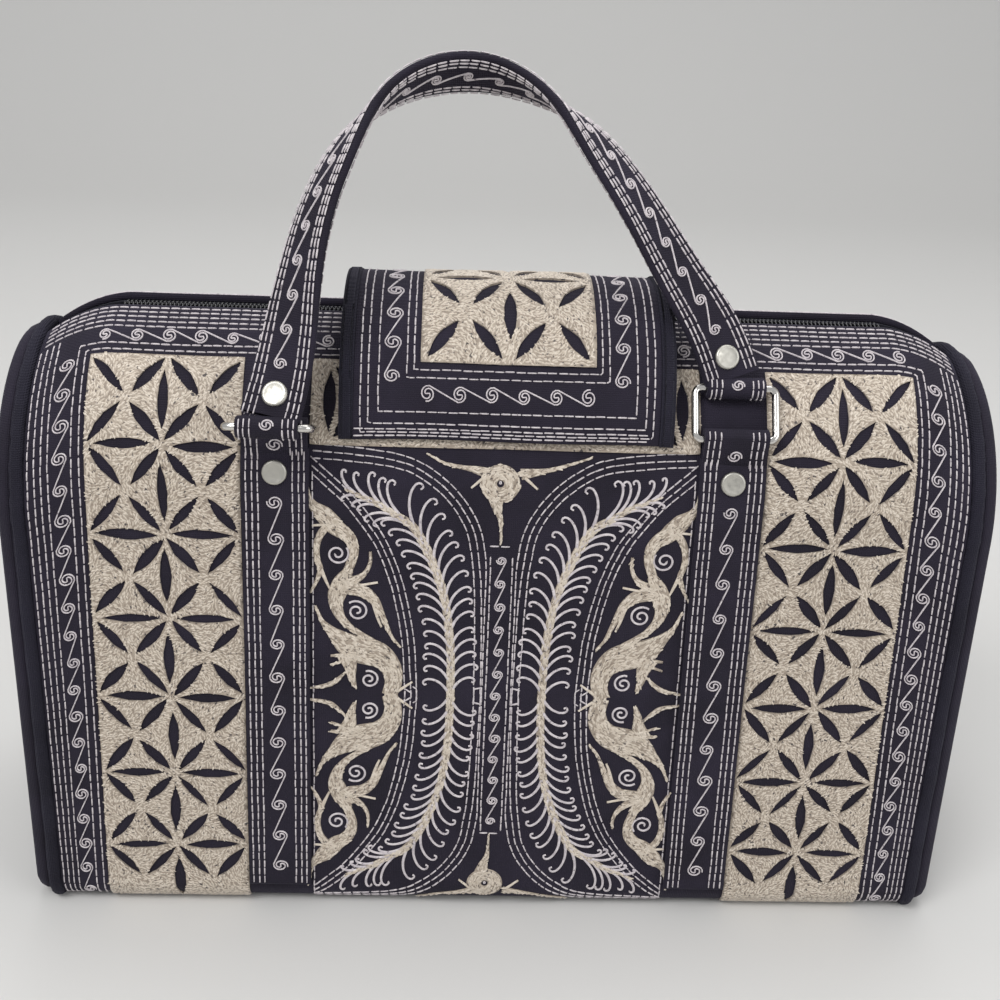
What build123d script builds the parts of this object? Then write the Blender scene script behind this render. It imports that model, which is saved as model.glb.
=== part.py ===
from build123d import *
import math
import os

# Soft zipped handbag with embroidered panels, a closing flap and two carrying handles.
# Frame in millimetres: X along the bag, -Y the front, +Z up, origin under the middle of the base.

# Body
BODY_LENGTH = 358.0
BODY_HEIGHT = 246.0
BASE_DEPTH = 139.0
SIDE_LEAN = 3.64
CROWN_RADIUS = 66.0
BASE_CORNER = 12.0
CLOTH = 3.0
SHOULDER_LENGTH = 29.0
SHOULDER_STEP = 16.0
MIDDLE_DROP = 4.5
END_DROP = 12.5
SKIN_GAP = 0.1

# End panels and their bindings
BINDING_WIDTH = 5.0
BINDING_PROUD = 1.6
BINDING_DEPTH = 3.4
BINDING_BEVEL = 1.3
BINDING_LIFT = 0.3
END_BULGE = 7.5
END_INSET = 1.0
END_STEPS = ((0.0, 0.0), (0.6, 1.6), (0.9, 4.2), (1.0, 9.0))
RIDGE_ROUND = 9.0

# Board in the base
BOARD_THICKNESS = 2.0
BOARD_MARGIN = 3.0

# Zip
ZIP_OPENING = 16.0
TAPE_THICKNESS = 1.2
TAPE_WIDTH = 14.0
TEETH_HALF_WIDTH = 2.5
TEETH_CORE = 1.0
TEETH_HEIGHT = 2.6
TEETH_SINK = 0.3
TOOTH_PITCH = 5.0
TOOTH_WIDTH = 2.2
TOOTH_CLEARANCE = 0.2
SLIDER_LENGTH = 11.0
SLIDER_WIDTH = 8.4
SLIDER_PLATE = 1.4
SLIDER_NOSE = 5.2
SLIDER_BEVEL = 0.4
SLIDER_GAP = 0.3
SLIDER_SPACING = 1.0
PULL_LENGTH = 24.0
PULL_WIDTH = 6.0
PULL_THICKNESS = 1.4
PULL_NECK = 4.5
PULL_CORNER = 2.4
PULL_LIFT = 0.9
PULL_PIN = 1.2
PIN_LENGTH = 4.2
PIN_CLEARANCE = 0.1
LUG_WIDTH = 1.4
LUG_LENGTH = 4.0
LUG_BEVEL = 0.6
FORK_CLEARANCE = 0.3
FORK_DEPTH = 3.0

# Embroidered columns and carrying bands on the long panels
BAND_CENTRE = 85.5
BAND_WIDTH = 25.0
BAND_THICKNESS = 2.5
LATTICE_INNER = 98.5
CELL_WIDTH = 28.5
LATTICE_COLUMNS = 2
LATTICE_ROWS = 7
LATTICE_FOOT = 1.0
LATTICE_START = -16.0
LATTICE_TOP_MARGIN = 36.0
FIELD_THICKNESS = 0.8
PETAL_LENGTH = 23.0
PETAL_WIDTH = 5.6
DIAGONAL_LENGTH = 17.0
DIAGONAL_SHARE = 0.27

# Tabs, rings and rivets
TAB_DROP = 33.0
WIRE = 3.0
WIRE_CLEARANCE = 0.35
LOOP_CLOTH = 2.2
RING_DROP = 19.7
RING_CORNER = 2.6
RING_SIDE_CLEARANCE = 0.1
LEFT_RING_ANGLE = 22.0
RIGHT_RING_ANGLE = 123.0
BAND_FOOT = 13.0
RIVET_DIAMETER = 9.4
RIVET_HEIGHT = 1.3
RIVET_CROWN = 6.8
RIVET_SHANK = 3.0
SHANK_CLEARANCE = 0.05
TAB_RIVET_DROP = 16.0

# Handles
HANDLE_WIDTH = 22.0
HANDLE_THICKNESS = 3.6
HANDLE_LEAN = 35.0
HANDLE_TURN = 100.0
TURN_LEVEL = 0.435
TURN_EASE = 1.3
HANDLE_SECTIONS = 13
HANDLE_RISE = 121.5
HANDLE_RIVET_OFFSET = 11.5
HANG_ANGLE = -58.0
HANG_LEAN = 9.0
HANG_TURN = 75.0
HANG_LENGTH = 120.0

# Flap
FLAP_WIDTH = 124.0
FLAP_THICKNESS = 2.5
FLAP_RISE = 13.0
FLAP_DROP = 36.0
FLAP_STAND_OFF = 3.8
FLAP_HEM = 9.0
FLAP_BINDING_WIDTH = 5.0
FLAP_BINDING_THICKNESS = 4.2
FLAP_BINDING_BEVEL = 1.2
FLAP_FIELD_HALF = 32.3
FLAP_FIELD_LOW = 146.0
FLAP_FIELD_HIGH = 36.0
FLAP_PETAL_LENGTH = 20.5
FLAP_DIAGONAL_LENGTH = 18.4
FLAP_PETAL_ROW = 121.0
FLAP_ROW_TURN = 52.0
SNAP_DIAMETER = 12.0
SNAP_LIFT = 12.0
SNAP_THICKNESS = 1.2

LEAN = math.radians(SIDE_LEAN)
RING_WIDTH = BAND_WIDTH + 2 * (RING_CORNER + RING_SIDE_CLEARANCE)
HALF_LENGTH = BODY_LENGTH / 2
BINDING_END = HALF_LENGTH + BINDING_WIDTH
SHOULDER_START = HALF_LENGTH - SHOULDER_LENGTH
SHOULDER_MIDDLE = SHOULDER_START + SHOULDER_STEP
ZIP_HALF_LENGTH = SHOULDER_START
TAB_HEIGHT = BODY_HEIGHT - TAB_DROP
TAB_RIVET_HEIGHT = TAB_HEIGHT - TAB_RIVET_DROP
FLAP_CREST = BODY_HEIGHT + FLAP_RISE
FLAP_FOOT = BODY_HEIGHT - FLAP_DROP
FLAP_RADIUS = FLAP_CREST - FLAP_FOOT
SNAP_HEIGHT = FLAP_FOOT + SNAP_LIFT
PLATE_HALF = BASE_DEPTH / 2 - BASE_CORNER * math.tan(LEAN) - BASE_CORNER / math.cos(LEAN)


def crown_centre(height):
    """Centre (y, z) of the crown arc on the back half of a section with this ridge height."""
    across = BASE_DEPTH / 2 * math.cos(LEAN) - CROWN_RADIUS
    offset = across - height * math.sin(LEAN)
    along = height * math.cos(LEAN) - math.sqrt(CROWN_RADIUS ** 2 - offset ** 2)
    return (across * math.cos(LEAN) - along * math.sin(LEAN),
            across * math.sin(LEAN) + along * math.cos(LEAN))


CROWN_Y, CROWN_Z = crown_centre(BODY_HEIGHT)
SHOULDER_Z = CROWN_Z + CROWN_RADIUS * math.sin(LEAN)


def section_plane(x):
    return Plane(origin=(x, 0, 0), x_dir=(0, 1, 0), z_dir=(1, 0, 0))


def section(x, inset, height=BODY_HEIGHT, ridge_round=0.0):
    """Cross-section of the bag at x, every wall moved inwards by inset."""
    crown_y, crown_z = crown_centre(height)
    crown = CROWN_RADIUS - inset
    corner = BASE_CORNER - inset
    corner_z = BASE_CORNER
    mid = math.radians(45) - LEAN / 2
    ridge_angle = math.acos(-crown_y / crown)
    arc_mid = (LEAN + ridge_angle) / 2

    def half(side):
        base = (side * PLATE_HALF, inset)
        low = (side * (PLATE_HALF + corner * math.sin(mid)), corner_z - corner * math.cos(mid))
        turn = (side * (PLATE_HALF + corner * math.cos(LEAN)), corner_z + corner * math.sin(LEAN))
        shoulder = (side * (crown_y + crown * math.cos(LEAN)), crown_z + crown * math.sin(LEAN))
        over = (side * (crown_y + crown * math.cos(arc_mid)), crown_z + crown * math.sin(arc_mid))
        ridge = (0, crown_z + crown * math.sin(ridge_angle))
        return base, low, turn, shoulder, over, ridge

    b, bl, bt, bs, bo, ridge = half(1)
    f, fl, ft, fs, fo, ridge = half(-1)
    wire = Wire([
        Edge.make_line(f, b),
        Edge.make_three_point_arc(b, bl, bt),
        Edge.make_line(bt, bs),
        Edge.make_three_point_arc(bs, bo, ridge),
        Edge.make_three_point_arc(ridge, fo, fs),
        Edge.make_line(fs, ft),
        Edge.make_three_point_arc(ft, fl, f),
    ])
    face = Face(wire)
    if ridge_round:
        top = face.vertices().sort_by(Axis.Y)[-1]
        face = face.fillet_2d(ridge_round, [top])
    return section_plane(x) * face


def body_solid(inset, past=0.0):
    """The bag's barrel between its end seams; past runs it on beyond them."""
    straight = extrude(section(-SHOULDER_START, inset), 2 * SHOULDER_START, dir=(1, 0, 0))
    end = section(HALF_LENGTH, inset, BODY_HEIGHT - END_DROP)
    shoulder = stack([
        section(SHOULDER_START, inset),
        section(SHOULDER_MIDDLE, inset, BODY_HEIGHT - MIDDLE_DROP),
        end,
    ])
    if past:
        shoulder = shoulder + extrude(end, past, dir=(1, 0, 0))
    return straight + shoulder + mirror(shoulder, Plane.YZ)


def block(x0, x1, y0, y1, z0, z1):
    return Pos((x0 + x1) / 2, (y0 + y1) / 2, (z0 + z1) / 2) * Box(x1 - x0, y1 - y0, z1 - z0)


def surface_point(z, out):
    """Point (y, z) at a distance out from the front panel, at height z, with its normal."""
    radius = CROWN_RADIUS + out
    y = -CROWN_Y - math.sqrt(radius ** 2 - (z - CROWN_Z) ** 2)
    return y, z, math.atan2(z - CROWN_Z, -CROWN_Y - y)


def to_back(shape):
    return mirror(shape, Plane.XZ)


def stack(sections):
    """Solid between sections along the bag, straight from each to the next."""
    return loft(sections, ruled=True)


def end_section(x, inset):
    return section(x, inset, BODY_HEIGHT - END_DROP, RIDGE_ROUND)


# Long panels, base and end panels
def make_panels():
    shell = body_solid(0.0) - body_solid(CLOTH, past=1.0)
    far = BODY_LENGTH
    base_zone = block(-far, far, -PLATE_HALF, PLATE_HALF, -1, CLOTH)
    zip_zone = block(-far, far, -ZIP_OPENING / 2, ZIP_OPENING / 2, BODY_HEIGHT / 2, BODY_HEIGHT + 1)
    walls = shell - base_zone - zip_zone
    front = walls & block(-far, far, -BASE_DEPTH, 0, -1, BODY_HEIGHT + 1)
    bottom = block(-HALF_LENGTH, HALF_LENGTH, -PLATE_HALF, PLATE_HALF, 0, CLOTH)
    return front, bottom


def make_end_panel():
    """Domed end: each step goes out by a share of the bulge and in from the outline."""
    outer = stack([end_section(BINDING_END + out * END_BULGE, END_INSET + inwards)
                   for out, inwards in END_STEPS])
    hollow = END_BULGE - CLOTH
    inner = stack([end_section(BINDING_END + out * hollow, END_INSET + CLOTH + inwards * hollow / END_BULGE)
                   for out, inwards in END_STEPS])
    return outer - inner


def make_binding():
    """Folded binding round the seam, pressed flat where the bag stands on it."""
    outer = stack([
        end_section(HALF_LENGTH, BINDING_BEVEL - BINDING_PROUD),
        end_section(HALF_LENGTH + BINDING_BEVEL, -BINDING_PROUD),
        end_section(BINDING_END - BINDING_BEVEL, -BINDING_PROUD),
        end_section(BINDING_END, BINDING_BEVEL - BINDING_PROUD),
    ])
    inner = stack([end_section(HALF_LENGTH - 1, BINDING_DEPTH), end_section(BINDING_END + 1, BINDING_DEPTH)])
    pressed = block(0, BODY_LENGTH, -BASE_DEPTH, BASE_DEPTH, BINDING_LIFT, 2 * BODY_HEIGHT)
    return (outer - inner) & pressed


def make_board():
    edge = HALF_LENGTH - BOARD_MARGIN
    half = PLATE_HALF - BOARD_MARGIN
    board = block(-edge, edge, -half, half, CLOTH, CLOTH + BOARD_THICKNESS)
    return fillet(board.edges().filter_by(Axis.Z), BASE_CORNER)


# Zip
TAPE_TOP = CLOTH + SKIN_GAP


def make_tape():
    skin = body_solid(TAPE_TOP) - body_solid(TAPE_TOP + TAPE_THICKNESS, past=1.0)
    reach = TEETH_HALF_WIDTH + SKIN_GAP
    end = HALF_LENGTH - SKIN_GAP
    return skin & block(-end, end, -reach - TAPE_WIDTH, -reach, BODY_HEIGHT / 2, BODY_HEIGHT)


def tape_height():
    crown = CROWN_RADIUS - TAPE_TOP
    return CROWN_Z + math.sqrt(crown ** 2 - CROWN_Y ** 2)


TEETH_MIDDLE = tape_height() - TAPE_THICKNESS / 2 - TEETH_SINK
TEETH_TOP = TEETH_MIDDLE + TEETH_HEIGHT / 2
TEETH_BOTTOM = TEETH_MIDDLE - TEETH_HEIGHT / 2


def make_teeth(side):
    """One row: a core on the tape's edge with teeth that pass between those of the other row."""
    core_in = TEETH_HALF_WIDTH - TEETH_CORE
    reach = core_in - TOOTH_CLEARANCE
    core = block(-ZIP_HALF_LENGTH, ZIP_HALF_LENGTH, -TEETH_HALF_WIDTH, -core_in, TEETH_BOTTOM, TEETH_TOP)
    count = int(2 * ZIP_HALF_LENGTH / TOOTH_PITCH) - 1
    shift = side * TOOTH_PITCH / 4
    tooth = block(-TOOTH_WIDTH / 2, TOOTH_WIDTH / 2, -core_in, reach, TEETH_BOTTOM, TEETH_TOP)
    teeth = [Pos((i - (count - 1) / 2) * TOOTH_PITCH + shift, 0, 0) * tooth for i in range(count)]
    return core + teeth


SLIDER_BASE = TEETH_TOP + SLIDER_GAP
SLIDER_TOP = SLIDER_BASE + SLIDER_PLATE
PIN_Z = SLIDER_TOP + PULL_PIN / 2 + PULL_LIFT


def make_slider():
    """Slider right of the middle: a tapered cover plate with a lug for the pull."""
    x0 = SLIDER_SPACING / 2
    x1 = x0 + SLIDER_LENGTH
    half = SLIDER_WIDTH / 2
    nose = SLIDER_NOSE / 2
    outline = make_face(Polyline((x0, -half), (x1, -nose), (x1, nose), (x0, half), close=True))
    plate = extrude(Pos(0, 0, SLIDER_BASE) * outline, SLIDER_PLATE)
    plate = chamfer(plate.edges().filter_by(Axis.Z), 2 * SLIDER_BEVEL)
    plate = chamfer(plate.faces().sort_by(Axis.Z)[-1].edges(), SLIDER_BEVEL)
    middle = (x0 + x1) / 2
    lug = block(middle - LUG_LENGTH / 2, middle + LUG_LENGTH / 2, -LUG_WIDTH / 2, LUG_WIDTH / 2,
                SLIDER_TOP, PIN_Z + PULL_PIN)
    lug = chamfer(lug.edges().filter_by(Axis.Y).sort_by(Axis.Z)[-2:], LUG_BEVEL)
    hole = Pos(middle, 0, PIN_Z) * Rot(90, 0, 0) * Cylinder(PULL_PIN / 2 + PIN_CLEARANCE, LUG_WIDTH * 2)
    return plate + lug - hole


def make_pull():
    """Pull lying along the zip: a tapered tongue with a fork and a pin through the slider's lug."""
    middle = SLIDER_SPACING / 2 + SLIDER_LENGTH / 2
    back = middle - FORK_DEPTH / 2
    tip = middle + PULL_LENGTH
    half = PULL_WIDTH / 2
    neck = PULL_NECK / 2
    outline = make_face(Polyline((back, -neck), (tip, -half), (tip, half), (back, neck), close=True))
    tongue = extrude(Pos(0, 0, PIN_Z - PULL_THICKNESS / 2) * outline, PULL_THICKNESS)
    tongue = fillet(tongue.edges().filter_by(Axis.Z).sort_by(Axis.X)[-2:], PULL_CORNER)
    gap = LUG_WIDTH / 2 + FORK_CLEARANCE
    slot = block(middle - FORK_DEPTH, middle + FORK_DEPTH, -gap, gap, 0, 2 * BODY_HEIGHT)
    pin = Pos(middle, 0, PIN_Z) * Rot(90, 0, 0) * Cylinder(PULL_PIN / 2, PIN_LENGTH)
    return tongue - slot + pin


# Embroidered columns
def surface_frame(arc_length):
    """Plane on the front panel at this arc length from the turn at its foot, facing outwards."""
    straight = side_length()[0]
    if arc_length <= straight:
        y = -(PLATE_HALF + BASE_CORNER * math.cos(LEAN)) + arc_length * math.sin(LEAN)
        z = BASE_CORNER + BASE_CORNER * math.sin(LEAN) + arc_length * math.cos(LEAN)
        angle = LEAN
    else:
        angle = LEAN + (arc_length - straight) / CROWN_RADIUS
        y = -CROWN_Y - CROWN_RADIUS * math.cos(angle)
        z = CROWN_Z + CROWN_RADIUS * math.sin(angle)
    normal = (0, -math.cos(angle), math.sin(angle))
    return Plane(origin=(0, y, z), x_dir=(1, 0, 0), z_dir=normal)


def side_length():
    """Arc length from the turn at the foot to the shoulder, and on to the ridge."""
    turn_z = BASE_CORNER + BASE_CORNER * math.sin(LEAN)
    straight = (SHOULDER_Z - turn_z) / math.cos(LEAN)
    return straight, straight + CROWN_RADIUS * (math.acos(-CROWN_Y / CROWN_RADIUS) - LEAN)


ROW_PITCH = (side_length()[1] - LATTICE_TOP_MARGIN - LATTICE_START) / LATTICE_ROWS


def row_height(row):
    """Arc length of a row line, the lowest one lying round the corner of the base."""
    return LATTICE_START + row * ROW_PITCH


def petal_outline(length, width):
    """Slim four-sided petal, long in x."""
    return make_face(Polyline((-length / 2, 0), (0, -width / 2), (length / 2, 0), (0, width / 2), close=True))


def lattice_petals():
    """Centre (x, arc length), angle and length of every petal of one column above the corner."""
    slope = math.degrees(math.atan2(ROW_PITCH, CELL_WIDTH))
    petals = []
    for row in range(1, LATTICE_ROWS):
        for column in range(LATTICE_COLUMNS):
            petals.append((LATTICE_INNER + (column + 0.5) * CELL_WIDTH, row_height(row), 0, PETAL_LENGTH))
    for row in range(LATTICE_ROWS):
        middle = row_height(row + 0.5)
        for column in range(1, LATTICE_COLUMNS):
            petals.append((LATTICE_INNER + column * CELL_WIDTH, middle, 90, PETAL_LENGTH))
        for column in range(LATTICE_COLUMNS):
            centre = LATTICE_INNER + (column + 0.5) * CELL_WIDTH
            for across in (-1, 1):
                for along in (-1, 1):
                    petals.append((centre + across * CELL_WIDTH * DIAGONAL_SHARE,
                                   middle + along * ROW_PITCH * DIAGONAL_SHARE,
                                   across * along * slope, DIAGONAL_LENGTH))
    return [petal for petal in petals if petal[1] > LATTICE_FOOT]


def field_outline(out):
    """Section (y, z) of the embroidery at a distance out: the crown is taken in flat steps of half a row."""
    straight, whole = side_length()
    step = ROW_PITCH / 2
    lift = (CROWN_RADIUS + out) * (1 / math.cos(step / CROWN_RADIUS / 2) - 1)
    heights = [row_height(k / 2) for k in range(2 * LATTICE_ROWS + 1)]
    stops = [height for height in heights if height > straight - step]
    points = []
    for arc_length, raised in [(LATTICE_FOOT, out)] + [(stop, out + lift) for stop in stops]:
        frame = surface_frame(arc_length)
        point = frame.origin + frame.z_dir * raised
        points.append((point.Y, point.Z))
    return points


def make_lattice():
    """Cream field of the right front column, with the dark ground left open as petals."""
    loop = field_outline(SKIN_GAP) + field_outline(SKIN_GAP + FIELD_THICKNESS)[::-1]
    field = extrude(section_plane(LATTICE_INNER) * make_face(Polyline(*loop, close=True)),
                    LATTICE_COLUMNS * CELL_WIDTH, dir=(1, 0, 0))
    cutters = []
    for x, along, angle, length in lattice_petals():
        frame = surface_frame(along)
        place = Plane(origin=(x, frame.origin.Y, frame.origin.Z), x_dir=(1, 0, 0), z_dir=frame.z_dir)
        outline = Rot(0, 0, angle) * petal_outline(length, PETAL_WIDTH)
        cutters.append(extrude(place * outline, 4 * FIELD_THICKNESS, both=True))
    return field - cutters


# Tabs, bands, rings and rivets
LOOP_HOLE = WIRE / 2 + WIRE_CLEARANCE
LOOP_RADIUS = LOOP_HOLE + LOOP_CLOTH
TAB_Y, TAB_Z, TAB_ANGLE = surface_point(TAB_HEIGHT, SKIN_GAP + LOOP_RADIUS)


def make_band():
    """Sewn band with the loop of its own cloth that holds the ring, left of the middle."""
    skin = body_solid(-SKIN_GAP - BAND_THICKNESS) - body_solid(-SKIN_GAP)
    x0 = -BAND_CENTRE - BAND_WIDTH / 2
    x1 = -BAND_CENTRE + BAND_WIDTH / 2
    strip = skin & block(x0, x1, -BASE_DEPTH, 0, BAND_FOOT, TAB_HEIGHT)
    strip = strip & block(x0, x1, -BASE_DEPTH, TAB_Y + LOOP_RADIUS, BAND_FOOT, TAB_HEIGHT)
    loop = Pos(-BAND_CENTRE, TAB_Y, TAB_Z) * Rot(0, 90, 0) * Cylinder(LOOP_RADIUS, BAND_WIDTH)
    hole = Pos(-BAND_CENTRE, TAB_Y, TAB_Z) * Rot(0, 90, 0) * Cylinder(LOOP_HOLE, BAND_WIDTH + 2)
    foot_height = TAB_RIVET_HEIGHT + RIVET_DIAMETER
    outer_foot = surface_point(foot_height, SKIN_GAP + BAND_THICKNESS)[:2]
    inner_foot = surface_point(foot_height, SKIN_GAP)[:2]
    normal = (-math.cos(TAB_ANGLE), math.sin(TAB_ANGLE))
    front = (TAB_Y + LOOP_RADIUS * normal[0], TAB_Z + LOOP_RADIUS * normal[1])
    back = (TAB_Y - LOOP_HOLE * normal[0], TAB_Z - LOOP_HOLE * normal[1])
    wedge = make_face(Polyline(front, outer_foot, inner_foot, back, close=True))
    wedge = extrude(section_plane(x0) * wedge, BAND_WIDTH, dir=(1, 0, 0))
    wedge = wedge - body_solid(-SKIN_GAP)
    return strip + loop + wedge - hole


def make_ring(x, angle):
    """Rounded rectangle of wire, its lower bar in the tab, its upper bar at angle above the front."""
    outer = RectangleRounded(RING_WIDTH + WIRE, RING_DROP + WIRE, RING_CORNER + WIRE / 2)
    inner = RectangleRounded(RING_WIDTH - WIRE, RING_DROP - WIRE, RING_CORNER - WIRE / 2)
    ring = extrude(outer - inner, WIRE / 2, both=True)
    rims = ring.faces().filter_by(Axis.Z).edges()
    ring = chamfer(rims, WIRE * (1 - math.tan(math.radians(22.5))) / 2)
    ring = Rot(angle, 0, 0) * (Pos(0, RING_DROP / 2, 0) * ring)
    return Pos(x, TAB_Y, TAB_Z) * mirror(ring, Plane.XZ)


def make_rivet(plane, depth):
    """Domed cap on the plane with a shank going down depth into what it holds."""
    rim = (RIVET_DIAMETER / 2, 0)
    crown = (RIVET_CROWN / 2, RIVET_HEIGHT)
    dome = make_face(Polyline((0, 0), rim, crown, (0, RIVET_HEIGHT), close=True))
    cap = revolve(Plane.XZ * dome, axis=Axis.Z)
    shank = Pos(0, 0, -depth / 2) * Cylinder(RIVET_SHANK / 2, depth)
    return plane * (cap + shank)


def rivet_frame(height):
    """Plane on the outer face of the left front band, facing outwards."""
    y, z, angle = surface_point(height, SKIN_GAP + BAND_THICKNESS)
    return Plane(origin=(-BAND_CENTRE, y, z), x_dir=(1, 0, 0), z_dir=(0, -math.cos(angle), math.sin(angle)))


TAB_RIVET_DEPTH = BAND_THICKNESS + SKIN_GAP + CLOTH


def make_tab_rivet():
    return make_rivet(rivet_frame(TAB_RIVET_HEIGHT), TAB_RIVET_DEPTH)


def rivet_hole(plane, depth):
    """Hole for the shank, with the seat that the cap presses into the cloth."""
    hole = Pos(0, 0, -depth / 2) * Cylinder(RIVET_SHANK / 2 + SHANK_CLEARANCE, depth + 1)
    seat = Pos(0, 0, RIVET_HEIGHT) * Cylinder(RIVET_DIAMETER / 2 + SHANK_CLEARANCE, 2 * RIVET_HEIGHT)
    return plane * (hole + seat)


# Handles
def ring_bar(angle):
    """Middle (y, z) of a ring's upper bar, the ring standing at angle above the front."""
    a = math.radians(angle)
    return TAB_Y - RING_DROP * math.cos(a), TAB_Z + RING_DROP * math.sin(a)


def standing_route():
    """Middle line of the standing handle from its left loop to its right one."""
    left_y, left_z = ring_bar(LEFT_RING_ANGLE)
    right_y, right_z = ring_bar(RIGHT_RING_ANGLE)
    arch = [
        (-0.96, -9.9, 0.165), (-0.91, 2.1, 0.354), (-0.84, 14.6, 0.593), (-0.72, 26.1, 0.79), (-0.54, 36.6, 0.938),
        (-0.3, 44.6, 1.0), (-0.07, 48.6, 0.992), (0.15, 45.1, 0.934), (0.36, 39.1, 0.807), (0.56, 32.6, 0.634),
        (0.74, 26.1, 0.453), (0.9, 18.6, 0.292),
    ]
    points = [(across * BAND_CENTRE, TAB_Y + back, TAB_Z + up * HANDLE_RISE) for across, back, up in arch]
    return [(-BAND_CENTRE, left_y, left_z)] + points + [(BAND_CENTRE, right_y, right_z)]


def turn_share(share):
    """How far the strap has turned its face outwards, 0 at its ends and 1 at the top."""
    rise = min(1.0, min(share, 1 - share) / TURN_LEVEL)
    return math.sin(rise * math.pi / 2) ** TURN_EASE


def strap_plane(path, share, lean, turn):
    """Plane across the strap: x along its width, z along its length, y out of its back."""
    front = Vector(0, -math.cos(math.radians(lean)), math.sin(math.radians(lean)))
    point = path @ share
    tangent = path % share
    face = (front - tangent * front.dot(tangent)).normalized()
    outward = face.cross(tangent).normalized()
    angle = math.radians(turn) * turn_share(share)
    face = face * math.cos(angle) + outward * math.sin(angle)
    return Plane(origin=point, x_dir=face.cross(tangent), z_dir=tangent)


def make_strap(route, lean, turn):
    path = Spline(*route)
    planes = [strap_plane(path, i / (HANDLE_SECTIONS - 1), lean, turn) for i in range(HANDLE_SECTIONS)]
    strap = loft([plane * Rectangle(HANDLE_WIDTH, HANDLE_THICKNESS) for plane in planes])
    holes = []
    for x, y, z in (route[0], route[-1]):
        strap = strap + Pos(x, y, z) * Rot(0, 90, 0) * Cylinder(LOOP_RADIUS, HANDLE_WIDTH)
        holes.append(Pos(x, y, z) * Rot(0, 90, 0) * Cylinder(LOOP_HOLE, RING_WIDTH + 10))
    strap = strap - holes
    frames = []
    for share in (HANDLE_RIVET_OFFSET / path.length, 1 - HANDLE_RIVET_OFFSET / path.length):
        plane = strap_plane(path, share, lean, turn)
        outer = plane.origin - plane.y_dir * (HANDLE_THICKNESS / 2)
        frames.append(Plane(origin=outer, x_dir=plane.x_dir, z_dir=plane.y_dir * -1))
    strap = strap - [rivet_hole(frame, HANDLE_THICKNESS + 1) for frame in frames]
    rivets = [make_rivet(frame, HANDLE_THICKNESS) for frame in frames]
    return strap, rivets


def hanging_route():
    """Middle line of the back handle hanging down from its rings, its arch at the bottom."""
    bar_y, bar_z = ring_bar(HANG_ANGLE)
    lean = math.radians(HANG_LEAN)
    shape = [(1.0, 0.0), (0.985, 0.18), (0.93, 0.42), (0.82, 0.67), (0.61, 0.87), (0.33, 0.97)]
    left = [(-across * BAND_CENTRE, bar_y - down * HANG_LENGTH * math.sin(lean),
             bar_z - down * HANG_LENGTH * math.cos(lean)) for across, down in shape]
    bottom = (0.0, bar_y - HANG_LENGTH * math.sin(lean), bar_z - HANG_LENGTH * math.cos(lean))
    right = [(-x, y, z) for x, y, z in left]
    return left + [bottom] + right[::-1]


# Flap
FLAP_CENTRE_Z = FLAP_FOOT
FLAP_CENTRE_Y = surface_point(FLAP_FOOT, FLAP_STAND_OFF)[0] + FLAP_RADIUS


def flap_shell(out, thickness, x0, x1, bevel=0.0):
    """Curved sheet over the zip, its outer face moved out by a distance, down to the flap's foot."""
    radius = FLAP_RADIUS + out
    middle = (x0 + x1) / 2
    place = Pos(middle, FLAP_CENTRE_Y, FLAP_CENTRE_Z) * Rot(0, 90, 0)
    drum = place * Cylinder(radius, x1 - x0)
    if bevel:
        drum = chamfer(drum.edges().filter_by(GeomType.CIRCLE), bevel)
    tube = drum - place * Cylinder(radius - thickness, x1 - x0 + 2)
    return tube & block(x0, x1, -BASE_DEPTH, BASE_DEPTH, FLAP_FOOT, FLAP_CREST + FLAP_RADIUS)


def seam_height():
    """Height where the flap's inner face comes down to the back panel."""
    inner = FLAP_RADIUS - FLAP_THICKNESS
    skin = CROWN_RADIUS + SKIN_GAP
    dy = FLAP_CENTRE_Y - CROWN_Y
    dz = FLAP_CENTRE_Z - CROWN_Z
    apart = math.hypot(dy, dz)
    along = (skin ** 2 - inner ** 2 + apart ** 2) / (2 * apart)
    side = math.sqrt(skin ** 2 - along ** 2)
    return CROWN_Z + (along * dz + side * dy) / apart


def make_flap(x0, x1, out, thickness, bevel=0.0):
    """Sheet of the flap with the hem by which it is sewn to the back panel."""
    sheet = flap_shell(out, thickness, x0, x1, bevel) - body_solid(-SKIN_GAP)
    seam = seam_height()
    sheet = sheet - block(x0 - 1, x1 + 1, 0, BASE_DEPTH, 0, seam - 3)
    skin = body_solid(-SKIN_GAP - FLAP_THICKNESS) - body_solid(-SKIN_GAP)
    hem = skin & block(x0, x1, 0, BASE_DEPTH, seam - FLAP_HEM, seam + 1)
    return sheet + hem


def make_flap_cloth():
    half = FLAP_WIDTH / 2 - FLAP_BINDING_WIDTH
    return make_flap(-half, half, 0, FLAP_THICKNESS)


def make_flap_binding():
    """Folded binding round the flap's left edge."""
    x0 = -FLAP_WIDTH / 2
    x1 = x0 + FLAP_BINDING_WIDTH
    proud = (FLAP_BINDING_THICKNESS - FLAP_THICKNESS) / 2
    return make_flap(x0, x1, proud, FLAP_BINDING_THICKNESS, FLAP_BINDING_BEVEL)


def flap_plane(x, angle, out=0.0):
    a = math.radians(angle)
    radius = FLAP_RADIUS + out
    return Plane(origin=(x, FLAP_CENTRE_Y + radius * math.cos(a), FLAP_CENTRE_Z + radius * math.sin(a)),
                 x_dir=(1, 0, 0), z_dir=(0, math.cos(a), math.sin(a)))


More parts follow.
